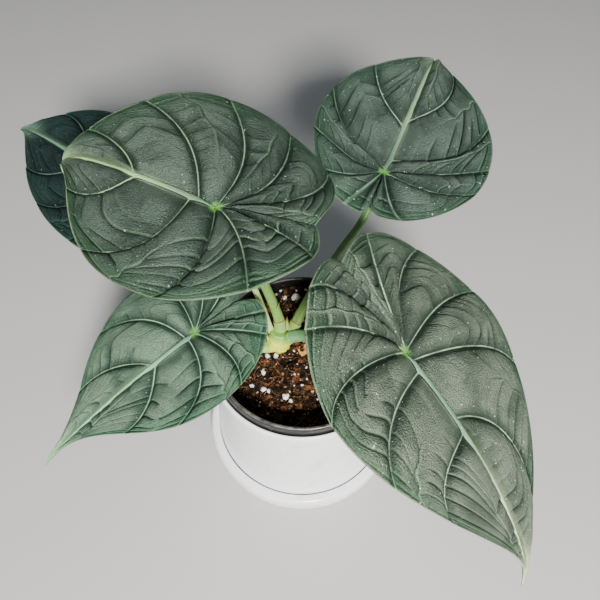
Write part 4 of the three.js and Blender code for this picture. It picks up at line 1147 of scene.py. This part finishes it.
def blade_mesh(leaf, seed):
    """Puts the flat patches on the blade's surface and closes them with an underside and a rim."""
    patches, sheets, rims, ribs = blade(leaf, seed)
    strip, ids = midrib_strip(leaf, np.concatenate([patch[0] for patch in patches]), ribs)
    tops, unders = zip(*sheets, sheet(ids, True))
    flat, height, marks, run = (np.concatenate(v) for v in zip(*patches, strip))
    first, place = distinct(flat, 1000)
    flat, height, marks, run = flat[first], height[first], marks[first], run[first]
    below = len(flat)
    top, under = place[np.vstack(tops)], place[np.vstack(unders)] + below
    rim = []
    for row in rims:
        row = place[row]
        a, b, c = row[:-1:2], row[1::2], row[2::2]
        rim += [np.stack(f, -1) for f in ((b, a, a + below), (b, a + below, c + below), (c, b, c + below))]
    p, q = flat.T * FIT
    up, base = blade_up(leaf, p, q), blade_surface(leaf, p, q)
    rib, edge = marks[:, 0], marks[:, 1]
    thick = EDGE_T + (BLADE_T - EDGE_T) * ease(edge, 0, 7)
    wave = WAVE * np.sin(run * 0.31) * ease(edge, 8, 0)
    keel = KEEL * bell(np.clip(rib, 0, None), 0.9) * ease(edge, 0, 14) * ease(np.hypot(p, q), 1, 6)
    keel = keel + KEEL * ease(-rib, 0.1, 1.5)
    points = np.vstack([base + up * (height + wave)[:, None],
                        base + up * (height * 0.9 + wave - thick - keel)[:, None]])
    triangles = np.vstack([top] + rim + [under])
    part = np.arange(len(triangles)) >= len(triangles) - len(under)
    part, triangles = part[whole(triangles)], triangles[whole(triangles)]
    used, triangles = np.unique(triangles, return_inverse=True)
    named = {"lines": marks[:, :3], "flat": np.column_stack([p, q, run]),
             "cushion": np.column_stack([marks[:, 3:], 0 * run])}
    named = {key: np.vstack([values, values])[used] for key, values in named.items()}
    return points[used], triangles.reshape(-1, 3), part, named


@node_group("quilted blade", Field=(0.05, 0.07, 0.06, 1), Silver=(0.12, 0.16, 0.14, 1),
            Margin=(0.06, 0.12, 0.06, 1), Vein=(0.21, 0.37, 0.26, 1), Cream=(0.44, 0.64, 0.34, 1),
            Dust=0.3, Green=4.0, Tip=110.0)
def QUILTED(group, field, silver, margin, vein, cream, dusty, green, length):
    """The blade's skin. Out of each point's distances to vein and margin and its place on the flat
    blade come the colour, the roughness and the height of the fine wrinkles."""
    rib, edge, crease = mark(group, "lines").split()
    p, q, run = mark(group, "flat").split()
    lit, swell, _ = mark(group, "cushion").split()
    aside = q.math("ABSOLUTE")
    where = p.node("ShaderNodeCombineXYZ", {0: p, 1: q})
    # leathery grain and short wrinkles, in millimetres of the flat blade
    grain = where.noise(1.5, 2, 0.6)
    wrinkle = (run * 3.4 + where.noise(0.45, 2) * 26).math("SINE") * rib.fade(0.8, 3.0)
    # the finest net of veins: the borders of small cells whose places are bent by noise
    drift = where.node("ShaderNodeTexNoise", {"Vector": where, "Scale": 0.3, "Detail": 2.0}, "Color")
    bent = drift.node("ShaderNodeVectorMath", {0: drift, 1: (5, 5, 0), 2: where}, operation="MULTIPLY_ADD")
    border = bent.node("ShaderNodeTexVoronoi", {"Vector": bent, "Scale": 0.2}, "Distance",
                       feature="DISTANCE_TO_EDGE")
    net = border.fade(0.09, 0.0) * rib.fade(1.0, 3.0)
    # colour of the fields: silvery away from the veins, greener at the margin, and dark in the furrows,
    # partly the leaf's own darker green and partly painted shade; the silver also fades to dark close to each
    # side vein, painted shade on the slopes of the cushions
    crest = rib.fade(0.8, 7.0, 0.25, 1.0) * where.noise(0.05, 3, 0.55).fade(0.28, 0.68, 0.3, 1.1)
    colour = (crest * swell.fade(0.15, 1.0, 0.22, 1.25)).blend(field, silver)
    colour = edge.fade(16, 1, 0.0, 0.5).blend(colour, margin)
    colour = colour.tinted(grain.fade(0.34, 0.6, 0.7, 0.0), (0.34, 0.36, 0.34, 1))
    colour = colour.tinted(net * 0.25, (0.45, 0.5, 0.45, 1))
    # painted shade, over the leaf's own darker green: darker beside each primary vein and along the line of
    # each side vein
    furrow = rib.fade(2.2, 0.7) * edge.fade(1, 9, 0.1, 0.42)
    colour = colour.tinted(furrow.math("MAXIMUM", crease * 0.85), (0.20, 0.24, 0.21, 1))
    # painted highlight: the slope before each side vein is lightened towards the vein colour
    colour = (lit * 0.38).blend(colour, vein)
    # the veins, the midrib, the joint with the stalk, the rim and the tip
    to_tip = length - p
    far = (p - green).fade(-6, 40)
    uneven = where.noise(0.11, 2).fade(0.3, 0.6, 0.45, 1.0) * edge.fade(3, 32, 0.4, 1.0)
    # painted highlight: a pale cream band within 3 mm of the midrib, on its slopes, growing away from the
    # joint
    colour = (aside.fade(3.0, 0.8) * far * 0.3).blend(colour, cream)
    colour = (rib.fade(0.44, 0.16) * uneven).blend(colour, (far * 0.35).blend(vein, cream))
    # near the joint the midrib is dark teal, turning cream beyond Green; on the third blade this long dark
    # stretch is painted shade
    teal_rib_and_shade = vein.tinted(1.0, (0.40, 0.50, 0.50, 1))
    colour = rib.fade(0.0, -0.5, 0.0, 0.9).blend(colour, (far * 0.85).blend(teal_rib_and_shade, cream))
    joint = where.node("ShaderNodeVectorMath", {0: where}, "Value", operation="LENGTH")
    colour = joint.fade(4.0, 1.5, 0.0, 0.85).blend(colour, (0.13, 0.33, 0.07, 1))
    rim = edge.fade(1.0, 0.2) * to_tip.fade(75, 15, 0.22, 0.85)
    tip = to_tip.fade(34, 8) * aside.fade(11, 3)
    colour = rim.math("MAXIMUM", tip * 0.8).blend(colour, cream)
    dust = specks(where, 0.42, 0.28, 0.14).math("MAXIMUM", specks(where, 1.1, 0.12, 0.2))
    colour = (dust * dusty).blend(colour, (0.72, 0.76, 0.72, 1))
    rough = (grain + crease * 0.3).fade(0.25, 0.85, 0.32, 0.55)
    height = wrinkle * 0.18 + grain * 1.7 + rib.fade(0.3, 3.2, 0.0, 1.8) - crease * 0.5 - net * 0.2
    return colour, rough, height


def underside():
    """The lower side: pale grey-green and matt, with raised veins of a lighter green."""
    material = new_material("blade underside", IOR=1.4)
    rib, _, crease = mark(material.node_tree, "lines").split()
    where = mark(material.node_tree, "flat")
    cloud = where.noise(0.3, 4)
    colour = cloud.fade(0.3, 0.7).blend((0.13, 0.20, 0.12, 1), (0.21, 0.29, 0.19, 1))
    colour = crease.fade(0.1, 0.8, 0.0, 0.6).blend(colour, (0.32, 0.42, 0.26, 1))
    colour = rib.fade(1.5, 0.6, 0.0, 0.9).blend(colour, (0.42, 0.52, 0.30, 1))
    return dress(material, colour, cloud.fade(0.3, 0.7, 0.5, 0.65), where.noise(1.8, 4), 0.3, 0.0006)


UNDERSIDE = underside()
# The colours of each blade, its share of dust, and how far along its rib turns cream
TINT_INPUTS = ["Field", "Silver", "Margin", "Vein", "Cream", "Dust", "Green"]
TINTS = [
    [(0.014, 0.029, 0.019, 1), (0.100, 0.144, 0.110, 1), (0.019, 0.076, 0.031, 1), (0.23, 0.38, 0.23, 1),
     (0.44, 0.64, 0.34, 1), 0.5, 4],
    [(0.015, 0.031, 0.023, 1), (0.108, 0.154, 0.122, 1), (0.020, 0.076, 0.038, 1), (0.21, 0.37, 0.24, 1),
     (0.30, 0.44, 0.27, 1), 0.9, 4],
    # partly painted highlight: the third blade's silver, veins and cream are lighter, for the sheen on it;
    # its rib stays dark teal for 40 mm as painted shade
    [(0.018, 0.035, 0.024, 1), (0.158, 0.205, 0.149, 1), (0.028, 0.092, 0.040, 1), (0.34, 0.52, 0.34, 1),
     (0.62, 0.78, 0.48, 1), 0.9, 40],
    # partly painted light and shade: the fourth blade's silver is made brighter for the sun on it, and its
    # field darker for the first blade's shadow
    [(0.012, 0.034, 0.023, 1), (0.166, 0.256, 0.178, 1), (0.030, 0.120, 0.056, 1), (0.29, 0.51, 0.35, 1),
     (0.38, 0.64, 0.38, 1), 0.3, 4],
    # painted shade: the fifth blade's colours are all darkened and turned teal, for the shadow of the first
    # blade on it
    [(0.003, 0.010, 0.009, 1), (0.013, 0.036, 0.032, 1), (0.008, 0.036, 0.028, 1), (0.05, 0.14, 0.12, 1),
     (0.18, 0.32, 0.22, 1), 0.3, 4],
]
for k, (leaf, tints) in enumerate(zip(LEAVES, TINTS), 1):
    points, triangles, part, marks = blade_mesh(leaf, BLADE_SEED + k)
    values = dict(zip(TINT_INPUTS, tints), Tip=leaf["tip"])
    # leathery and faintly silvery, with the quilted skin's values set for this blade
    skin = from_group(f"leaf_blade_{k} skin", QUILTED, values, 1.0, 0.0006, IOR=1.4, Specular_IOR_Level=0.3)
    new_piece(f"leaf_blade_{k}_fine", points, triangles, [skin, UNDERSIDE], "leaf_green",
              [f"leaf_blade_{k}"], part, marks)


# Studio
# A plain pale floor, a key light from the front right and above, a broad weak fill from the left,
# and a camera that looks down at the plant as the photograph does.

FLOOR = (0.50, 0.495, 0.485, 1)
CAMERA_AT = (-0.0012, -0.1836, 0.4029)
LOOK_DOWN = 54.5
LENS = 37.2

corners = [(x, y, -0.0003) for x, y in ((-3, -3), (3, -3), (3, 3), (-3, 3))]
floor = bpy.data.meshes.new("floor")
floor.from_pydata(corners, [], [(0, 1, 2, 3)])
floor.materials.append(new_material("pale floor", Base_Color=FLOOR, Roughness=0.75))
new_object("floor", floor)


def area_light(name, place, aim, size, power, colour):
    """A square light at a place, turned to shine at the aim."""
    lamp = bpy.data.lights.new(name, "AREA")
    lamp.shape, lamp.size, lamp.energy, lamp.color = "SQUARE", size, power, colour
    light = new_object(name, lamp)
    light.location = place
    x, y, z = unit(np.array(place) - np.array(aim))
    light.rotation_euler = (math.acos(z), 0, math.atan2(y, x) + math.pi / 2)
    light.visible_camera = False


area_light("key", (0.16, -1.0, 0.92), (-0.02, 0, 0.13), 0.22, 48, (1.0, 0.97, 0.93))
area_light("fill", (-0.9, 0.3, 1.0), (0, 0, 0.12), 0.9, 1.5, (0.88, 0.94, 1.0))

world = bpy.data.worlds.new("room")
world.use_nodes = True
background = world.node_tree.nodes["Background"]
background.inputs["Color"].default_value = (0.78, 0.89, 1.0, 1)
background.inputs["Strength"].default_value = 0.16
bpy.context.scene.world = world

lens = bpy.data.cameras.new("camera")
lens.lens = LENS
lens.sensor_width = 36
camera = new_object("camera", lens)
camera.location = CAMERA_AT
camera.rotation_euler = (math.radians(90 - LOOK_DOWN), 0, 0)
bpy.context.scene.camera = camera
